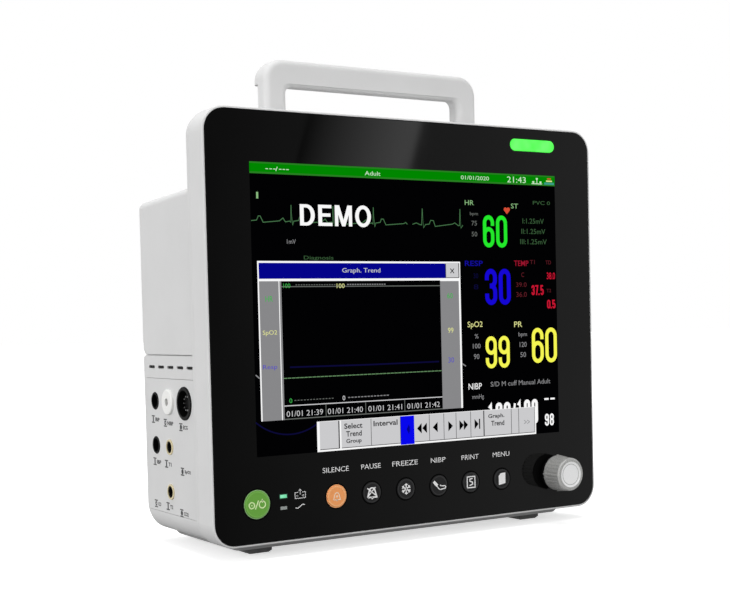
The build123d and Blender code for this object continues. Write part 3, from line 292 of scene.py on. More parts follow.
# -------- artwork on a face
class Artwork:
    """Flat shapes on one face of the object, gathered into one thin mesh.

    A place on it is millimetres to the right of, and above, its middle, for someone who faces it.
    A layer is how many thicknesses of ink the shape stands above the face.
    """

    def __init__(self, name, middle, right=(1, 0, 0)):
        self.name = name
        self.middle = Vector(middle)
        self.right = Vector(right)
        self.up = Vector((0, 0, 1))
        self.out = self.right.cross(self.up)
        self.mesh = bmesh.new()
        self.materials = []

    def point(self, x, height, layer):
        across = self.right * x + self.up * height + self.out * layer * INK
        return self.middle + across * MM

    def slot(self, material):
        if material not in self.materials:
            self.materials.append(material)
        return self.materials.index(material)

    def face(self, corners, slot):
        made = self.mesh.faces.new(corners)
        made.material_index = slot

    def plate(self, outline, material, layer=1):
        """A closed plate with the given outline."""
        slot = self.slot(material)
        back = [self.mesh.verts.new(self.point(x, h, 0)) for x, h in outline]
        front = [self.mesh.verts.new(self.point(x, h, layer)) for x, h in outline]
        self.face(front, slot)
        self.face(back[::-1], slot)
        for i in range(len(outline)):
            j = (i + 1) % len(outline)
            self.face((back[i], back[j], front[j], front[i]), slot)

    def bar(self, left, low, right, high, material, layer=1):
        """A rectangle."""
        self.plate([(left, low), (right, low), (right, high), (left, high)], material, layer)

    def arc(self, x, height, radius, start=0, end=360, steps=40):
        """Points along an arc; angles in degrees, anticlockwise from the right."""
        angles = [math.radians(start + (end - start) * i / steps) for i in range(steps + 1)]
        return [(x + radius * math.cos(a), height + radius * math.sin(a)) for a in angles]

    def disc(self, x, height, radius, material, layer=1):
        """A filled circle."""
        self.plate(self.arc(x, height, radius)[:-1], material, layer)

    def stroke(self, points, width, material, layer=1):
        """A line of the given width through the points."""
        sides = ([], [])
        spots = [Vector(point) for point in points]
        for i, here in enumerate(spots):
            before, after = spots[max(i - 1, 0)], spots[min(i + 1, len(spots) - 1)]
            arriving = (here - before).normalized() if i else (after - here).normalized()
            leaving = (after - here).normalized() if i < len(spots) - 1 else arriving
            along = arriving + leaving
            along = along.normalized() if along.length > 0.2 else arriving
            across = Vector((-along.y, along.x))
            stretch = 1 / max(0.6, abs(across.dot(Vector((-leaving.y, leaving.x)))))
            sides[0].append(here + across * width / 2 * stretch)
            sides[1].append(here - across * width / 2 * stretch)
        for i in range(len(spots) - 1):
            self.plate((sides[1][i], sides[1][i + 1], sides[0][i + 1], sides[0][i]), material, layer)

    def ring(self, x, height, radius, width, material, layer=1):
        """A circle drawn as a line."""
        self.stroke(self.arc(x, height, radius), width, material, layer)

    def word(self, text, left, low, right, high, material, layer=1, weight=0.0):
        """Lettering that fills the given rectangle. A weight above 0 makes it bolder."""
        curve = bpy.data.curves.new("word", "FONT")
        curve.body = text
        curve.resolution_u = 3
        curve.offset = weight
        holder = bpy.data.objects.new("word", curve)
        collection.objects.link(holder)
        depsgraph = bpy.context.evaluated_depsgraph_get()
        flat = bpy.data.meshes.new_from_object(holder.evaluated_get(depsgraph))
        bpy.data.objects.remove(holder)
        bpy.data.curves.remove(curve)
        letters = bmesh.new()
        letters.from_mesh(flat)
        bpy.data.meshes.remove(flat)
        bmesh.ops.remove_doubles(letters, verts=letters.verts, dist=DOUBLED)
        xs = [v.co.x for v in letters.verts]
        ys = [v.co.y for v in letters.verts]
        across = (right - left) / (max(xs) - min(xs))
        upward = (high - low) / (max(ys) - min(ys))
        slot = self.slot(material)
        placed = {}
        for vert in letters.verts:
            x = left + (vert.co.x - min(xs)) * across
            h = low + (vert.co.y - min(ys)) * upward
            placed[vert] = [self.mesh.verts.new(self.point(x, h, level)) for level in (0, layer)]
        for shape in letters.faces:
            self.face([placed[v][1] for v in shape.verts], slot)
            self.face([placed[v][0] for v in reversed(shape.verts)], slot)
            for loop in shape.loops:
                if loop.edge.is_boundary:
                    a, b = placed[loop.vert], placed[loop.link_loop_next.vert]
                    self.face((a[0], b[0], b[1], a[1]), slot)
        letters.free()

    def words(self, layer, rows):
        """Several words on one layer: each row is a text, its rectangle and its material."""
        for text, left, low, right, high, material in rows:
            self.word(text, left, low, right, high, material, layer)

    def figures(self, text, left, low, right, high, width, material, layer=1, gap=1.6):
        """Rounded figures of even width that fill the given rectangle."""
        step = (right - left + gap) / len(text)
        for i, figure in enumerate(text):
            start = left + step * i
            self.figure(figure, start, low, start + step - gap, high, width, material, layer)

    def figure(self, figure, left, low, right, high, width, material, layer):
        """One figure, drawn with strokes through the middle of its lines."""
        left, right, low, high = left + width / 2, right - width / 2, low + width / 2, high - width / 2
        middle, round_x = (left + right) / 2, (right - left) / 2
        round_h = min(round_x * 1.15, (high - low) / 4)
        waist = low + (high - low) * 0.53

        def turn(height, start, end):
            turned = self.arc(0, 0, 1, start, end, 14)
            return [(middle + round_x * x, height + round_h * h) for x, h in turned]

        over, under = high - round_h, low + round_h
        hook = (high - low) * 0.1
        nine = turn(over, 180, 0) + turn(under, 0, -180) + [(left, under + hook)]
        lines = {
            "0": [turn(over, 0, 180) + turn(under, 180, 360) + [(right, over)]],
            "1": [[(middle - round_x * 0.7, high - 0.16 * (high - low)), (middle + round_x * 0.2, high),
                   (middle + round_x * 0.2, low - width / 2)]],
            "2": [[(left, over - hook)] + turn(over, 180, -20) + [(left, low), (right + width / 2, low)]],
            "3": [[(left, over - hook)] + turn(over, 180, 0) + turn(waist + round_h, 0, -90)
                  + [(middle - round_x * 0.3, waist)], turn(waist - round_h, 90, 0) + turn(under, 0, -180)
                  + [(left, under + hook)]],
            "5": [[(right, high), (left, high), (left, waist)] + turn(waist - round_h * 0.7, 150, 0)
                  + turn(under, 0, -180)],
            "6": [[(right, over - hook)] + turn(over, 0, 180) + turn(under, 180, 360)
                  + turn(waist - round_h + hook / 2, 0, 172)],
            "7": [[(left - width / 2, high), (right, high), (middle - round_x * 0.3, low - width / 2)]],
            "8": [turn(over, 0, 180) + turn(waist + round_h, 180, 360) + [(right, over)],
                  turn(waist - round_h, 0, 180) + turn(under, 180, 360) + [(right, waist - round_h)]],
            "9": [nine, [(left, over)] + turn(waist + round_h - hook / 2, 180, 352)],
            ".": [[(middle - width / 2, low), (middle + width / 2, low)]],
            "/": [[(left, low), (right, high)]],
        }
        for line in lines[figure]:
            self.stroke(line, width, material, layer)

    def finish(self, body):
        """Makes the piece."""
        piece_from(self.name, self.mesh, self.materials, body)


# -------- screen picture
SCREEN_COLOURS = {
    "black": (2, 2, 3), "bar_green": (0, 136, 0), "edge_green": (42, 128, 36), "white": (255, 255, 255),
    "pale": (206, 206, 208), "grey": (138, 138, 140), "dim": (104, 108, 104), "line_dark": (60, 60, 62),
    "bar_text": (204, 236, 200), "trace": (72, 118, 76), "trend": (104, 146, 100),
    "dim_green": (58, 92, 58), "pale_green": (140, 190, 130), "green": (36, 236, 44), "navy": (4, 4, 140),
    "blue": (22, 8, 214), "bright_blue": (8, 8, 240), "label_deep": (20, 16, 156), "dim_blue": (13, 11, 56),
    "label_blue": (88, 80, 190), "yellow": (250, 250, 84), "pale_yellow": (226, 228, 150),
    "red": (206, 24, 52), "label_red": (156, 22, 46), "dim_red": (92, 30, 38), "heart": (214, 78, 54),
    "label_green": (60, 178, 76), "teal": (60, 160, 140),
}


class Palette:
    """The inks of the screen picture, each under the name of its colour."""

    def __init__(self):
        for name, shade in SCREEN_COLOURS.items():
            setattr(self, name, screen_ink("screen_" + name, srgb(*shade)))


SCREEN_LEFT, SCREEN_RIGHT = -123.7, 122.3  # picture area, from the middle of the glass
SCREEN_LOW, SCREEN_HIGH = -81.0, 103.4
BEAT = 30.9  # length of one heartbeat along the trace
TRACE_HEIGHT = 66.6


def draw_status_bar(art, ink):
    art.bar(SCREEN_LEFT, 96.0, SCREEN_RIGHT, 103.3, ink.edge_green, 2)
    art.bar(SCREEN_LEFT, 97.1, SCREEN_RIGHT, 102.3, ink.bar_green, 3)
    for left in (-112.4, -109.6, -106.9, -102.8, -100.2, -97.6):
        art.bar(left, 98.9, left + 1.8, 99.4, ink.bar_text, 4)
    art.stroke([(-105.1, 98.0), (-103.9, 100.6)], 0.5, ink.bar_text, 4)
    art.word("Adult", -39, 97.8, -26.8, 100.6, ink.bar_text, 4)
    art.word("01/01/2020", 38.9, 98.0, 63.0, 100.7, ink.bar_text, 4)
    art.word("21:43", 79, 97.3, 95.8, 101.5, ink.bar_text, 4)
    art.bar(101, 96.9, 110.6, 97.5, ink.bar_text, 4)
    for x, top in ((102.6, 99.0), (105.9, 101.3), (109.2, 99.0)):
        art.stroke([(x, 97.5), (x, top - 0.8)], 0.6, ink.bar_text, 4)
        art.bar(x - 0.9, top - 1.1, x + 0.9, top, ink.bar_text, 4)
    art.bar(112.6, 96.9, 121.6, 98.4, ink.teal, 4)
    art.bar(114.4, 98.9, 119.8, 99.9, ink.pale_yellow, 4)
    art.bar(115.4, 100.6, 118.8, 101.5, ink.heart, 4)


def heartbeat(x):
    """Points of one beat whose spike stands at x."""
    shape = ((-20.2, -0.9), (-8.6, 0.2), (-7.2, 1.2), (-6.0, 2.1), (-4.4, -0.3), (-1.0, 0.2),
             (-0.5, -0.6), (0.0, 10.4), (0.5, 0.0), (0.9, -2.3), (1.7, 0.2), (5.2, 0.7), (6.1, 2.9),
             (7.7, 2.9), (9.6, -0.9))
    return [(x + along, TRACE_HEIGHT + rise) for along, rise in shape]


def draw_traces(art, ink):
    before_gap = [(SCREEN_LEFT + 0.3, TRACE_HEIGHT), (-119.6, 67.0), (-118.3, 69.6), (-117, 69.6)]
    for i in range(3):
        before_gap += heartbeat(-94.8 + BEAT * i)
    before_gap += [(-9.3, 66.8), (-7.5, 67.6), (-6.2, 66.4)]
    after_gap = [(-2.1, 66.5), (1.1, 67.5), (3.3, 66.6), (5.4, 66.2), (6.1, 77.2), (6.9, 64.3), (8.5, 66.5),
                 (11.6, 66.9), (12.8, 69.4), (15.1, 69.3), (16.5, 65.4), (31, 67.2), (32.9, 68.1),
                 (36, 66.2), (37.0, 66.4), (37.5, 77.6), (38.1, 64.6), (39.7, 66.6)]
    art.stroke(before_gap, 0.5, ink.trace, 2)
    art.stroke(after_gap, 0.5, ink.trace, 2)
    art.bar(-119.4, 80.4, -118.0, 84.5, ink.pale_green, 2)
    art.word("1mV", -98.4, 52.5, -92.0, 55.3, ink.grey, 2)
    art.word("Diagnosis", -86.4, 41.9, -64.5, 45.0, ink.dim_green, 2)
    pulse = art.arc(-99.4, -30.0, 38.2, 230, 304, 24)
    art.stroke(pulse, 0.9, ink.dim_blue, 2)
    art.stroke([(-123.1, -29.6), (-120.4, -31.8)], 0.8, ink.grey, 2)
    art.stroke([(36.2, -28.0), (39.8, -30.2)], 0.8, ink.grey, 2)
    draw_demo(art, ink.white)


def draw_demo(art, white):
    """The word DEMO in plain heavy capitals, each drawn from strips."""
    low, high = 64.2, 77.7
    middle, tall = (low + high) / 2, (high - low) / 2

    def strip(outer, inner):
        for i in range(len(outer) - 1):
            art.plate([outer[i], outer[i + 1], inner[i + 1], inner[i]], white, 3)

    def bowl(x, width, height, start, end):
        turns = [math.radians(start + (end - start) * i / 24) for i in range(25)]
        return [(x + width * math.cos(a), middle + height * math.sin(a)) for a in turns]

    left = -88.5
    outer = [(left, high), (left + 4.8, high)] + bowl(left + 4.8, 6.1, tall, 88, -88)
    inner = [(left, high - 2.0), (left + 4.4, high - 2.0)] + bowl(left + 4.4, 3.6, tall - 2.0, 88, -88)
    strip(outer + [(left + 4.8, low), (left, low)], inner + [(left + 4.4, low + 2.0), (left, low + 2.0)])
    art.bar(left, low, left + 2.8, high, white, 3)
    left = -75.0
    art.bar(left, low, left + 2.8, high, white, 3)
    for bottom, reach in ((high - 2.1, 9.9), (middle - 0.8, 9.1), (low, 10.4)):
        art.bar(left, bottom, left + reach, bottom + 2.1, white, 3)
    left, wide = -62.6, 13.0
    for side, start in ((1, left), (-1, left + wide)):
        art.bar(min(start, start + 2.5 * side), low, max(start, start + 2.5 * side), high, white, 3)
        corners = [(start + 0.3 * side, high), (start + 3.4 * side, high),
                   (left + wide / 2 + 1.3 * side, low), (left + wide / 2 - 1.2 * side, low)]
        art.plate(corners[::side], white, 3)
    strip(bowl(-41.1, 6.1, tall + 0.35, 0, 360), bowl(-41.1, 3.3, tall - 2.0, 0, 360))


def draw_trend_window(art, ink):
    """Trend window: frame, title, two label columns and a plot above its row of times."""
    left, right, low, high = -120.0, 36.6, -58.8, 41.6
    plot_left, plot_right = -103.4, 19.5
    art.bar(left, low, right, high, ink.white, 4)
    art.bar(left + 0.9, 30.4, 24.3, high - 1.2, ink.navy, 5)
    art.word("Graph. Trend", -58.1, 33.4, -28.7, 37.2, ink.pale, 6)
    art.bar(24.7, 31.0, 34.9, high - 0.8, ink.pale, 5)
    art.stroke([(24.4, 30.7), (24.4, high - 1.2)], 0.5, ink.line_dark, 6)
    art.stroke([(35.4, 30.7), (35.4, high - 1.0)], 0.7, ink.line_dark, 6)
    art.stroke([(24.4, 30.7), (35.4, 30.7)], 0.5, ink.line_dark, 6)
    art.stroke([(28.3, 33.8), (31.3, 36.9)], 0.6, ink.black, 6)
    art.stroke([(28.3, 36.9), (31.3, 33.8)], 0.6, ink.black, 7)
    art.bar(left + 0.9, low, plot_left - 1.9, 28.9, ink.grey, 5)
    art.bar(plot_left - 1.3, low, plot_left, 28.9, ink.grey, 5)
    art.bar(plot_right, low, right - 1.5, 28.4, ink.grey, 5)
    art.bar(plot_left, low, plot_right, 28.9, ink.black, 5)
    art.stroke([(plot_left, 25.4), (plot_right, 25.3)], 0.55, ink.dim, 6)
    art.word("100", -101.9, 24.6, -96.9, 27.4, ink.label_green, 6)
    art.word("100", -62.6, 24.3, -56.6, 27.2, ink.pale_yellow, 6)
    for i in range(16):
        art.bar(-93.0 + 1.9 * i, 26.2, -92.0 + 1.9 * i, 26.8, ink.dim, 6)
        art.bar(-54.6 + 1.9 * i, 26.2, -53.4 + 1.9 * i, 26.9, ink.grey, 6)
    art.stroke([(-98.6, -25.6), (-40, -26.2), (17.2, -26.2)], 1.0, ink.dim_blue, 6)
    for i in range(41):
        start = plot_left + 3.0 * i
        art.stroke([(start, -32.5), (min(start + 2.6, plot_right), -32.5)], 0.55, ink.trend, 6)
    art.word("0", -99.7, -48.3, -97.6, -45.4, ink.label_green, 6)
    art.word("0", -60.2, -48.6, -58.2, -45.6, ink.pale, 6)
    for i in range(13):
        art.bar(-96.0 + 2.3 * i, -47.1, -94.7 + 2.3 * i, -46.6, ink.dim, 6)
        art.bar(-56.0 + 2.5 * i, -47.3, -54.3 + 2.5 * i, -46.7, ink.grey, 6)
    art.stroke([(plot_left, -50.0), (plot_right, -50.4)], 0.6, ink.pale, 6)
    for x in (-72.9, -42.6, -11.7):
        art.stroke([(x, -50.2), (x, low)], 0.45, ink.dim, 6)
    art.stroke([(plot_left, low + 0.3), (plot_right, low + 0.3)], 0.6, ink.dim, 6)
    for i, start in enumerate((-101.9, -71.6, -40.6, -9.7)):
        art.word(f"01/01 21:{39 + i}", start, -57.0, start + 26.7, -53.4, ink.pale, 6, -0.004)
    labels = (("HR", -112.3, 17.8, 2.6, ink.label_green), ("SpO2", -112.3, -3.7, 5.1, ink.pale_yellow),
              ("Resp", -112.8, -25.3, 5.1, ink.label_blue), ("60", 27.5, 18.4, 2.3, ink.label_green),
              ("99", 27.5, -5.2, 2.3, ink.pale_yellow), ("30", 27.4, -25.5, 2.4, ink.label_blue))
    for text, x, height, half, shade in labels:
        art.word(text, x - half, height - 1.8, x + half, height + 1.8, shade, 6)


def arrow(art, tip, base, material):
    """A solid triangle on its side, as tall as the arrows of the menu bar."""
    middle, half = -70.7, 3.5
    art.plate([(base, middle - half), (tip, middle), (base, middle + half)][::1 if tip > base else -1],
              material, 6)


def draw_menu_bar(art, ink):
    left, right, low, high = -79.9, 100.9, -81.0, -61.4
    art.bar(left, low, right, high, ink.white, 4)
    cells = (-78.0, -63.6, -61.8, -38.8, -15.6, -4.4, 8.0, 20.1, 30.4, 42.9, 54.3, 78.6, 85.2, 99.7)
    gap, chosen = -63.6, -15.6  # left edges of the gap and of the blue cell
    for start, end in zip(cells, cells[1:]):
        if start == gap:
            continue
        blue = start == chosen
        foot, fill = (0.2, ink.bright_blue) if blue else (1.5, ink.pale)
        art.bar(start, low + foot, end, high - 0.3, fill, 5)
        if not blue:
            art.stroke([(start, low + 1.4), (end, low + 1.4)], 0.45, ink.line_dark, 6)
            art.stroke([(end, low + 1.4), (end, high - 0.3)], 0.4, ink.line_dark, 6)
    for x in (-63.5, 54.3):
        art.stroke([(x, low + 1.2), (x, high - 0.3)], 0.9, ink.line_dark, 6)
    labels = (("Select", -59.5, -45.5, -65.5), ("Trend", -58.2, -46.2, -70.6),
              ("Group", -58.2, -46.4, -75.7), ("Interval", -36.9, -17.8, -65.2),
              ("Graph.", 58.2, 72.4, -66.2), ("Trend", 60.6, 72.2, -71.0))
    for text, start, end, middle in labels:
        art.word(text, start, middle - 1.9, end, middle + 1.7, ink.line_dark, 6, 0.022)
    arrow(art, -10.6, -8.6, ink.navy)
    art.bar(-8.4, -72.6, -7.9, -68.8, ink.navy, 6)
    for tip, base in ((-2.2, 1.6), (2.1, 5.9), (10.8, 14.8), (27.6, 23.8), (36.9, 33.2), (40.5, 36.9),
                      (49.6, 46.2)):
        arrow(art, tip, base, ink.black)
    art.bar(50.0, -74.2, 51.0, -67.2, ink.black, 6)
    art.word(">>", 90.0, -73.4, 95.2, -70.4, ink.grey, 6)


def draw_heart_rate(art, ink):
    art.words(2, (("HR", 41.8, 80.6, 49.4, 83.9, ink.pale_green), ("bpm", 46.0, 73.0, 52.9, 75.9, ink.dim),
                  ("75", 47.2, 66.6, 51.8, 69.8, ink.dim), ("50", 47.2, 59.1, 51.9, 62.3, ink.dim)))
    art.figures("60", 57.0, 51.6, 78.2, 74.0, 2.9, ink.green, 2)
    lobes = art.arc(77.0, 78.3, 1.45, 200, 20, 10) + art.arc(79.6, 78.3, 1.45, 160, -20, 10)
    art.plate([(78.3, 75.0)] + lobes, ink.heart, 2)
    art.words(2, (("ST", 82.0, 79.2, 88.4, 82.6, ink.pale_green),
                  ("PVC 0", 101.9, 82.4, 117.6, 85.0, ink.dim_green)))
    for i, lead in enumerate(("I", "II", "III")):
        low = 68.8 - 7.3 * i
        left = 92.2 - 1.2 * i
        art.word(f"{lead}:1.25mV", left, low, left + 19.4 + 2.4 * i, low + 3.6, ink.dim_green, 2)


def draw_breathing(art, ink):
    art.word("RESP", 40.8, 38.7, 56.2, 42.4, ink.label_deep, 2, 0.01)
    art.figures("30", 57.8, 11.6, 80.4, 36.8, 3.4, ink.blue, 2)
    for text, height in (("30", 30.2), ("8", 22.6)):
        art.word(text, 48.0, height, 52.0, height + 3.4, ink.dim_blue, 2)


def draw_temperature(art, ink):
    art.word("TEMP", 83.8, 38.8, 96.8, 42.6, ink.label_red, 2, 0.01)
    art.words(2, (("T1", 98.2, 40.2, 102.6, 43.0, ink.dim_red),
                  ("TD", 112.6, 40.0, 117.6, 42.7, ink.dim_red),
                  ("C", 90.2, 31.0, 92.6, 34.2, ink.dim_red)))
    art.word("38.0", 113.4, 29.3, 121.1, 34.2, ink.red, 2, 0.01)
    for text, start, end in (("37", 99.2, 105.4), (".", 105.2, 106.8), ("5", 107.4, 110.3)):
        art.figures(text, start, 18.1, end, 25.2, 1.1, ink.red, 2, gap=0.5)
    art.words(2, (("39.0", 85.3, 24.0, 94.8, 27.2, ink.dim_red),
                  ("36.0", 85.3, 16.9, 94.8, 20.4, ink.dim_red),
                  ("T2", 113.0, 20.0, 117.2, 22.4, ink.dim_red)))
    for text, start, end in (("0", 113.3, 116.4), (".", 116.2, 117.8), ("5", 118.1, 121.1)):
        art.figures(text, start, 8.4, end, 14.6, 1.1, ink.red, 2)


def draw_oxygen(art, ink):
    art.words(2, (("SpO2", 42.0, -4.7, 55.0, 0.4, ink.pale_yellow),
                  ("%", 48.0, -11.4, 51.2, -8.3, ink.grey), ("100", 46.2, -18.3, 52.8, -15.0, ink.grey),
                  ("90", 46.9, -25.7, 51.6, -22.2, ink.grey)))
    art.figures("99", 57.2, -32.6, 78.4, -10.2, 2.7, ink.yellow, 2)


def draw_pulse_rate(art, ink):
    art.words(2, (("PR", 82.9, -4.3, 90.0, -0.4, ink.pale_yellow),
                  ("bpm", 86.6, -11.8, 94.2, -8.0, ink.grey), ("120", 87.5, -18.5, 93.8, -15.0, ink.grey),
                  ("50", 88.0, -25.7, 93.0, -22.2, ink.grey)))
    art.figures("60", 98.6, -30.4, 121.7, -5.3, 2.9, ink.yellow, 2)


def draw_blood_pressure(art, ink):
    """Cuff readings; the large ones run on under the menu bar."""
    art.words(2, (("NIBP", 41.8, -46.6, 53.2, -42.4, ink.white),
                  ("S/D M cuff Manual Adult", 61.0, -45.4, 114.9, -42.0, ink.grey),
                  ("mmHg", 44.8, -54.2, 54.8, -50.2, ink.grey)))
    art.figures("120", 57.6, -74.0, 78.2, -56.8, 2.4, ink.white, 2, gap=1.2)
    art.figures("/", 79.2, -74.0, 83.0, -57.2, 1.8, ink.white, 2)
    art.figures("100", 83.4, -73.6, 103.0, -56.0, 2.4, ink.white, 2, gap=1.2)
    for left in (109.1, 114.7):
        art.bar(left, -57.2, left + 4.0, -55.9, ink.white, 2)
    art.figures("98", 109.3, -75.8, 117.6, -67.2, 1.3, ink.white, 2, gap=0.8)


def draw_ground(art, ink):
    art.bar(SCREEN_LEFT, SCREEN_LOW, SCREEN_RIGHT, SCREEN_HIGH, ink.black)


def draw_screen():
    """Each area of the picture is a piece of its own."""
    ink = Palette()
    areas = {"ground": draw_ground, "status_bar": draw_status_bar, "traces": draw_traces,
             "trend_window": draw_trend_window, "menu_bar": draw_menu_bar, "heart_rate": draw_heart_rate,
             "breathing": draw_breathing, "temperature": draw_temperature, "oxygen": draw_oxygen,
             "pulse_rate": draw_pulse_rate, "blood_pressure": draw_blood_pressure}
    for name, draw in areas.items():
        art = Artwork("screen_" + name, GLASS_MIDDLE)
        draw(art, ink)
        art.finish("monitor")


# -------- keys and their marks
LABEL_WIDTHS = {"silence": 19.8, "pause": 15.2, "freeze": 20.6, "nibp": 12.1, "print": 14.7, "menu": 14.8}
LABEL_HEIGHT = 3.3
LABEL_RISE = 17.4  # from the middle of a key to the middle of its label
KEY_FLANGE = 1.5  # how far the hidden flange of a key reaches past its cap
LENS_FLANGE = 1.0  # the same for the indicator lenses


def cap_radius(name):
    """Radius of a key's visible cap, in millimetres; its hidden flange is wider."""
    low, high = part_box(name + "_button")
    return (high.x - low.x) / 2 / MM - KEY_FLANGE


def front_of(part):
    """Middle of a part's front face."""
    low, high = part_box(part)
    return Vector(((low.x + high.x) / 2, low.y, (low.z + high.z) / 2))


def spot_of(part):
    """The same place on artwork on the glass, in millimetres."""
    return (front_of(part) - GLASS_MIDDLE) / MM


def draw_labels(white):
    """Words above the keys, and the marks beside the two indicators."""
    art = Artwork("glass_labels", GLASS_MIDDLE)
    for key, width in LABEL_WIDTHS.items():
        spot = spot_of(key + "_button")
        low = spot.z + LABEL_RISE - LABEL_HEIGHT / 2
        art.word(key.upper(), spot.x - width / 2, low, spot.x + width / 2, low + LABEL_HEIGHT, white)
    spot = spot_of("charge_indicator")
    x, height = spot.x + 12.2, spot.z + 0.4
    art.stroke([(x - 1.4, height + 1.2), (x - 3.8, height + 1.2), (x - 3.8, height - 2.6),
                (x + 3.8, height - 2.6), (x + 3.8, height + 1.2), (x + 1.4, height + 1.2)], 0.4, white)
    art.stroke([(x, height - 0.4), (x, height + 2.8)], 0.4, white)
    art.stroke([(x - 1.0, height + 2.1), (x, height + 3.2), (x + 1.0, height + 2.1)], 0.35, white)
    for start in (x - 2.9, x + 1.5):
        art.stroke([(start, height - 1.0), (start + 1.4, height - 1.0)], 0.45, white)
    art.stroke([(x + 2.2, height - 1.7), (x + 2.2, height - 0.3)], 0.45, white)
    spot = spot_of("mains_indicator")
    wave = [(spot.x + 8.6 + 0.34 * i, spot.z + 1.1 * math.sin(math.pi * (0.08 * i - 0.8)))
            for i in range(21)]
    art.stroke(wave, 0.55, white)
    draw_surrounds(art)
    art.finish("monitor")


def draw_surrounds(art):
    """A matt black ring round each key as painted shade of the gap round it, inside it a pale rim on two,
    and a dim green ring round an indicator as painted glow.
    """
    # painted shade: matt black ink where the gap round each key lies in shade
    black = printed("key_surround", srgb(3, 3, 3), 0.8, 0.05)
    rims = {"power": printed("power_rim", srgb(142, 186, 122)),
            "silence": printed("silence_rim", srgb(250, 178, 118))}
    # painted glow: dim green ink where the indicator's light spills onto the glass
    halo = printed("indicator_painted_glow", srgb(10, 50, 34), 0.6)
    for key in KEY_DRAWINGS:
        spot = spot_of(key + "_button")
        cap = cap_radius(key)
        if key in rims:
            art.ring(spot.x, spot.z, cap + 0.33, 0.55, rims[key])
        # the painted shade of the gap, drawn as a black ring just outside the cap
        art.ring(spot.x, spot.z, cap + (1.1 if key in rims else 0.5), 0.9, black)
    low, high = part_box("charge_indicator")
    spot = spot_of("charge_indicator")
    wide, tall = ((high - low) / 2 / MM).xz
    wide, tall = wide - LENS_FLANGE + 0.4, tall - LENS_FLANGE + 0.4
    rim = [(-wide, -tall), (wide, -tall), (wide, tall), (-wide, tall), (-wide, -tall)]
    # the painted glow, drawn as a green line round the lens
    art.stroke([(spot.x + x, spot.z + h) for x, h in rim], 0.5, halo)


def draw_bell(art, ink, size, struck):
    """An alarm bell, struck out with a cross if asked."""
    dome = art.arc(0, 0.12 * size, 0.3 * size, 20, 160, 12)
    outline = [(-0.48 * size, -0.42 * size)] + dome[::-1] + [(0.48 * size, -0.42 * size)]
    art.stroke(outline + [outline[0]], 0.13 * size, ink, 3)
    art.disc(0, -0.5 * size, 0.1 * size, ink, 3)
    if struck:
        art.stroke([(-0.5 * size, 0.42 * size), (0.42 * size, -0.3 * size)], 0.1 * size, ink, 4)
        art.stroke([(0.36 * size, 0.46 * size), (-0.42 * size, -0.3 * size)], 0.1 * size, ink, 4)


def draw_power(art, ink):
    """The two usual signs for on and off, with a stroke between them."""
    art.ring(-4.0, -0.3, 1.9, 0.75, ink, 3)
    art.disc(-4.0, -0.3, 0.45, ink, 3)
    art.stroke([(-1.6, -2.9), (0.8, 2.5)], 0.75, ink, 3)
    art.ring(3.4, -0.2, 2.2, 0.75, ink, 3)
    art.stroke([(3.4, 0.8), (3.4, 3.3)], 0.75, ink, 3)


def draw_silence(art, ink):
    draw_bell(art, ink, 5.4, struck=False)
    art.disc(0, -0.2, 0.75, ink, 3)


def draw_pause(art, ink):
    draw_bell(art, ink, 7.4, struck=True)


def draw_freeze(art, ink):
    """A snow crystal with six arms."""
    for i in range(6):
        turn = math.radians(90 + 60 * i)
        tip = Vector((math.cos(turn), math.sin(turn)))
        across = Vector((-tip.y, tip.x))
        art.stroke([(0, 0), tip * 3.7], 0.85, ink, 3)
        fork = tip * 2.1
        for side in (-1, 1):
            art.stroke([fork, tip * 3.2 + across * side * 1.15], 0.6, ink, 4)


def draw_nibp(art, ink):
    """A bent arm with a pressure cuff round its upper half."""
    art.plate([(-5.1, 2.3), (-3.7, 3.6), (-0.8, 0.6), (-2.3, -0.8)], ink, 3)
    art.stroke([(-1.7, -0.4), (-0.3, -2.3), (1.0, -2.8), (5.0, -2.3), (5.4, -1.3), (4.8, -0.5),
                (1.9, -0.4), (0.6, 0.2)], 0.65, ink, 3)


def draw_print(art, ink):
    """A strip of paper with a trace on it."""
    art.stroke([(-3.3, -3.8), (3.3, -3.8), (3.3, 3.8), (-3.3, 3.8), (-3.3, -3.8)], 0.75, ink, 3)
    trace = [(1.3, 2.5), (-1.1, 2.1), (-1.1, 0.7), (1.2, -0.1), (1.2, -1.5), (-1.3, -2.3)]
    art.stroke(trace, 0.8, ink, 3)


def draw_menu(art, ink):
    """A sheet with a turned corner."""
    art.plate([(-2.9, -4.1), (2.9, -3.2), (2.9, 4.3), (-1.1, 4.1), (-2.9, 2.3)], ink, 3)


KEY_DRAWINGS = {"power": draw_power, "silence": draw_silence, "pause": draw_pause, "freeze": draw_freeze,
                "nibp": draw_nibp, "print": draw_print, "menu": draw_menu}


def draw_keys(white):
    """The mark on each key, and the thin ring round its edge."""
    power_ink = printed("power_mark", srgb(226, 250, 186))
    silence_ink = printed("silence_mark", srgb(255, 226, 196))
    power_ring = printed("power_ring", srgb(120, 184, 78))
    silence_ring = printed("silence_ring", srgb(255, 190, 130))
    dark_ring = printed("dark_key_ring", srgb(36, 36, 37))
    inks = {"power": (power_ink, power_ring), "silence": (silence_ink, silence_ring)}
    for key, draw in KEY_DRAWINGS.items():
        mark, edge = inks.get(key, (white, dark_ring))
        art = Artwork(key + "_mark", front_of(key + "_button"))
        art.ring(0, 0, cap_radius(key) - 0.8, 0.7, edge, 1)
        draw(art, mark)
        art.finish(key + "_key")


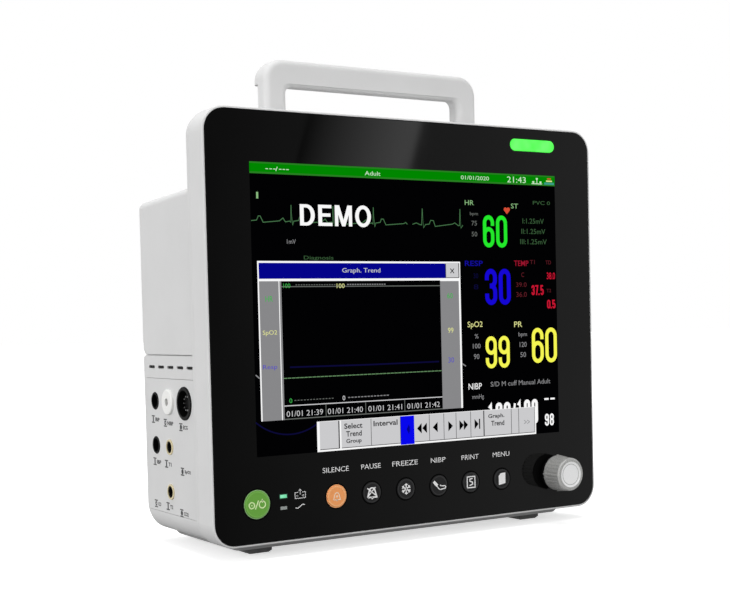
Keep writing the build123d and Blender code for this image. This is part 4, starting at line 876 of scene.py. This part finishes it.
def draw_knob_disc():
    """The turned disc set into the cap of the knob, a grey ring on it as painted shade of a groove, and the
    silver rim round it.
    """
    front = front_of("knob_cap")
    recess = 0.4 * MM
    art = Artwork("knob_disc", front + Vector((0, recess, 0)))
    art.disc(0, 0, 8.5, metal("turned_disc", srgb(255, 255, 255), 0.4, purity=0.0), 2)
    # painted shade: a grey ring stands in for the shade inside a turned groove
    art.ring(0, 0, 7.3, 0.4, printed("disc_groove_shade", srgb(172, 172, 170)), 3)
    art.finish("knob_turn")
    rim = Artwork("knob_rim", front)
    rim.ring(0, 0, 9.7, 1.15, metal("turned_rim", srgb(186, 186, 184), 0.3, purity=0.3))
    rim.finish("knob_turn")


# -------- marks on the left side
def draw_socket_labels():
    """A small symbol between two short bars, and a short word, under each patient socket."""
    ink = printed("socket_ink", srgb(22, 22, 24))
    panel_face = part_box("connector_panel")[0].x
    art = Artwork("socket_labels", (panel_face, 0, GLASS_MIDDLE.z), right=(0, -1, 0))
    rows = (("IBP", 101.1, -60.6, "line"), ("NIBP", 80.9, -62.1, "dot"), ("ECG", 55.8, -63.6, "heart"),
            ("IBP", 100.4, -89.4, "line"), ("T1", 80.9, -89.6, "line"), ("SpO2", 55.3, -92.7, "heart"),
            ("CO", 100.3, -118.2, "dot"), ("T2", 80.3, -118.0, "line"), ("CO2", 58.2, -120.2, "heart"))
    for text, depth, height, sign in rows:
        x = -(GLASS_FRONT / MM + depth)
        for low in (height + 1.8, height - 2.6):
            art.bar(x - 2.6, low, x + 2.6, low + 0.8, ink)
        if sign == "heart":
            art.disc(x, height, 1.7, ink)
        elif sign == "dot":
            art.ring(x, height, 1.1, 1.0, ink)
        else:
            art.bar(x - 0.9, height - 1.7, x + 0.9, height + 1.7, ink)
        art.word(text, x + 3.4, height - 1.3, x + 3.4 + 2.4 * len(text), height + 1.3, ink, 1, 0.04)
    art.finish("monitor")


# -------- black foam inside the vents, with lugs in the slots as painted shade
COVER_WALL = 3.0  # thickness of the lower cover's side wall
FOAM = 0.4  # thickness of the foam behind it
FOAM_GAP = 0.1  # between the wall and the foam
LUG_RECESS = 0.5  # from the outer face of the wall to the lugs of the foam
FOAM_DEPTHS = (31, 109)  # front and rear end of the foam, behind the glass
FOAM_HEIGHT = 6.8
VENT_HEIGHT = -24.9  # of the row of slots, from the middle of the glass
VENT_DEPTH, VENT_PITCH, VENT_COUNT = 101, 15.5, 5
VENT_LENGTH, VENT_WIDTH = 8.8, 1.5


def make_vent_meshes():
    """Black filter foam on the inner face of the wall, with a black lug that fills each vent slot as
    painted shade of the slot's depth.
    """
    material = plastic("vent_mesh", srgb(16, 16, 17), 0.8, grain=0.8, depth=0.1)
    low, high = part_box("lower_cover")
    for name, side, sign in (("vent_mesh_left", low.x, 1), ("vent_mesh_right", high.x, -1)):
        mesh = bmesh.new()

        def block(starts, ends, depths, height):
            """A box between two distances inside the wall and two depths behind the glass."""
            size = Vector((abs(starts - ends), depths[1] - depths[0], height)) * MM
            middle = Vector((sign * (starts + ends) / 2, sum(depths) / 2, VENT_HEIGHT)) * MM
            place = Matrix.Translation(Vector((side, GLASS_FRONT, GLASS_MIDDLE.z)) + middle)
            bmesh.ops.create_cube(mesh, size=1, matrix=place @ Matrix.Diagonal((*size, 1)))

        inner = COVER_WALL + FOAM_GAP
        block(inner, inner + FOAM, FOAM_DEPTHS, FOAM_HEIGHT)
        for i in range(VENT_COUNT):
            middle = VENT_DEPTH - VENT_PITCH * i
            # painted shade: a black lug fills the slot nearly to its mouth, where the slot's own shade
            # would be
            block(inner, LUG_RECESS, (middle - VENT_LENGTH / 2, middle + VENT_LENGTH / 2), VENT_WIDTH)
        piece_from(name, mesh, [material], "monitor")


# -------- room, lights and camera
FLOOR_RADIUS = 12  # in metres, as everything in this section
# between these distances the floor's painted glow rises to full strength
FLOOR_FADE = (0.25, 0.8)  # distances between which the floor brightens


def make_floor():
    """A wide white table, lit by the lamps and also given painted light: its paint glows, less near the
    monitor and more away from it.
    """
    material, tree, shader, place = surface("floor_paint")
    cloud = spread(tree, noise(tree, place, 400, 3), 0, 1)
    paint = blended(tree, cloud, srgb(244, 244, 244), srgb(250, 250, 250))
    away = node(tree, "VectorMath", {0: place}, operation="LENGTH")
    # painted light: the floor's own glow, weaker near the monitor
    floor_glow = ranged(tree, away.outputs["Value"], FLOOR_FADE, (0.62, 1.0))
    feed(shader, {"Base Color": paint, "Emission Color": paint, "Emission Strength": floor_glow,
                  "Roughness": 0.9, "Specular IOR Level": 0.1})
    mesh = bmesh.new()
    angles = [math.tau * i / 64 for i in range(64)]
    mesh.faces.new([mesh.verts.new((FLOOR_RADIUS * math.cos(a), FLOOR_RADIUS * math.sin(a), 0))
                    for a in angles])
    floor = staged_mesh("floor", mesh, material)
    floor.visible_glossy = False
    floor.visible_diffuse = False


def staged_mesh(name, mesh, material):
    """An object that isn't part of the monitor."""
    made = object_from(name, mesh, [material])
    return made


def separated(tree, coordinates):
    """The parts X, Y and Z of the named coordinates."""
    place = node(tree, "TexCoord").outputs[coordinates]
    return node(tree, "SeparateXYZ", {"Vector": place}).outputs


def make_window_glow():
    """A leaning strip of light, seen only in reflections, brightest at its right edge."""
    width, lean = 0.27, 0.333
    low, high = 0.34, 0.66
    brightest = 2.9
    right_edge, edge_height = 1.0236, 0.4627  # place of the right edge at one height
    distance = 1.5  # in front of the glass
    material = bpy.data.materials.new("window_glow")
    tree = emptied_tree(material)
    parts = separated(tree, "Object")
    leaning = math_node(tree, "MULTIPLY", parts["Z"], lean)
    across = math_node(tree, "SUBTRACT", parts["X"], leaning)
    strength = math_node(tree, "MULTIPLY", math_node(tree, "DIVIDE", across, width), brightest)
    glow = node(tree, "Emission", {"Strength": strength})
    node(tree, "OutputMaterial", {"Surface": glow.outputs["Emission"]})
    mesh = bmesh.new()
    corners = [(lean * low, 0, low), (lean * low + width, 0, low), (lean * high + width, 0, high),
               (lean * high, 0, high)]
    mesh.faces.new([mesh.verts.new(corner) for corner in corners])
    strip = staged_mesh("window_glow", mesh, material)
    strip.location = (right_edge - lean * edge_height - width, GLASS_FRONT - distance, 0)
    strip.visible_camera = False
    strip.visible_diffuse = False
    strip.visible_shadow = False


def ramp(tree, value, stops):
    """A grey value that follows stops of (place, brightness)."""
    made = node(tree, "ValToRGB", {"Fac": value})
    elements = made.color_ramp.elements
    while len(elements) < len(stops):
        elements.new(0.5)
    for element, (place, bright) in zip(elements, stops):
        element.position = place
        element.color = (bright, bright, bright, 1)
    return made.outputs["Color"]


def background(tree, colour):
    return node(tree, "Background", {"Color": colour}).outputs["Background"]


def mixed(tree, share, first, second):
    """A shader that goes from the first to the second one."""
    return node(tree, "MixShader", {"Fac": share, 1: first, 2: second}).outputs["Shader"]


def make_world():
    """White behind the object; for its own light a sky brighter from above, and for reflections a room
    that is darker towards the front left."""
    world = bpy.data.worlds.new("studio")
    tree = emptied_tree(world)
    rays = node(tree, "LightPath").outputs
    parts = separated(tree, "Generated")
    height, side = (math_node(tree, "MULTIPLY_ADD", parts[axis], 0.5, 0.5) for axis in ("Z", "X"))
    sky = ramp(tree, height, ((0.0, 0.0), (0.5, 0.38), (1.0, 0.42)))
    room = ramp(tree, side, ((0.0, 0.75), (0.55, 0.75), (0.71, 0.12), (0.84, 0.72), (1.0, 0.9)))
    for_surfaces = mixed(tree, rays["Is Glossy Ray"], background(tree, sky), background(tree, room))
    whole = mixed(tree, rays["Is Camera Ray"], for_surfaces, background(tree, (1, 1, 1, 1)))
    node(tree, "OutputWorld", {"Surface": whole})
    scene.world = world


def area_light(name, place, target, size, power):
    """A soft box that faces the target, left out of reflections."""
    light = bpy.data.lights.new(name, "AREA")
    light.shape = "RECTANGLE"
    light.size, light.size_y = size
    light.energy = power
    holder = bpy.data.objects.new(name, light)
    holder.location = place
    holder.rotation_euler = (Vector(target) - Vector(place)).to_track_quat("-Z", "Y").to_euler()
    holder.visible_glossy = False
    collection.objects.link(holder)


def make_lights():
    middle = (0, 0, 0.15)
    area_light("left_light", (-1.9, 0.0, 0.5), middle, (1.2, 1.2), 22)
    area_light("front_light", (-0.1, -2.1, 0.5), middle, (1.6, 1.6), 23)
    area_light("top_light", (0, 0.2, 2.3), middle, (1.8, 1.8), 34)


def make_camera():
    """A camera to the left of the front, level with the middle of the screen and turned slightly."""
    place = Vector((-0.4937, -0.7683, 0.1477))
    heading, pitch, roll = (math.radians(angle) for angle in (31.08, -2.15, -1.41))
    forward = Vector((math.sin(heading), math.cos(heading), 0))
    ahead = forward * math.cos(pitch) + Vector((0, 0, math.sin(pitch)))
    level = Vector((math.cos(heading), -math.sin(heading), 0))
    above = level.cross(ahead)
    right = level * math.cos(roll) + above * math.sin(roll)
    up = above * math.cos(roll) - level * math.sin(roll)
    turn = Matrix((right, up, -ahead)).transposed().to_4x4()
    camera = bpy.data.cameras.new("camera")
    camera.sensor_width = 36
    camera.lens = 63.61
    camera.shift_x = 0.0351
    camera.shift_y = 0.0868
    holder = bpy.data.objects.new("camera", camera)
    holder.matrix_world = Matrix.Translation(place) @ turn
    collection.objects.link(holder)
    scene.camera = holder


scene.view_settings.view_transform = "Standard"
make_camera()
make_world()
make_lights()
make_floor()
make_window_glow()
dress_nodes(make_node_materials())
draw_screen()
draw_labels(printed("label_white", srgb(236, 236, 236)))
draw_keys(printed("mark_white", srgb(250, 250, 250)))
draw_knob_disc()
draw_socket_labels()
make_vent_meshes()
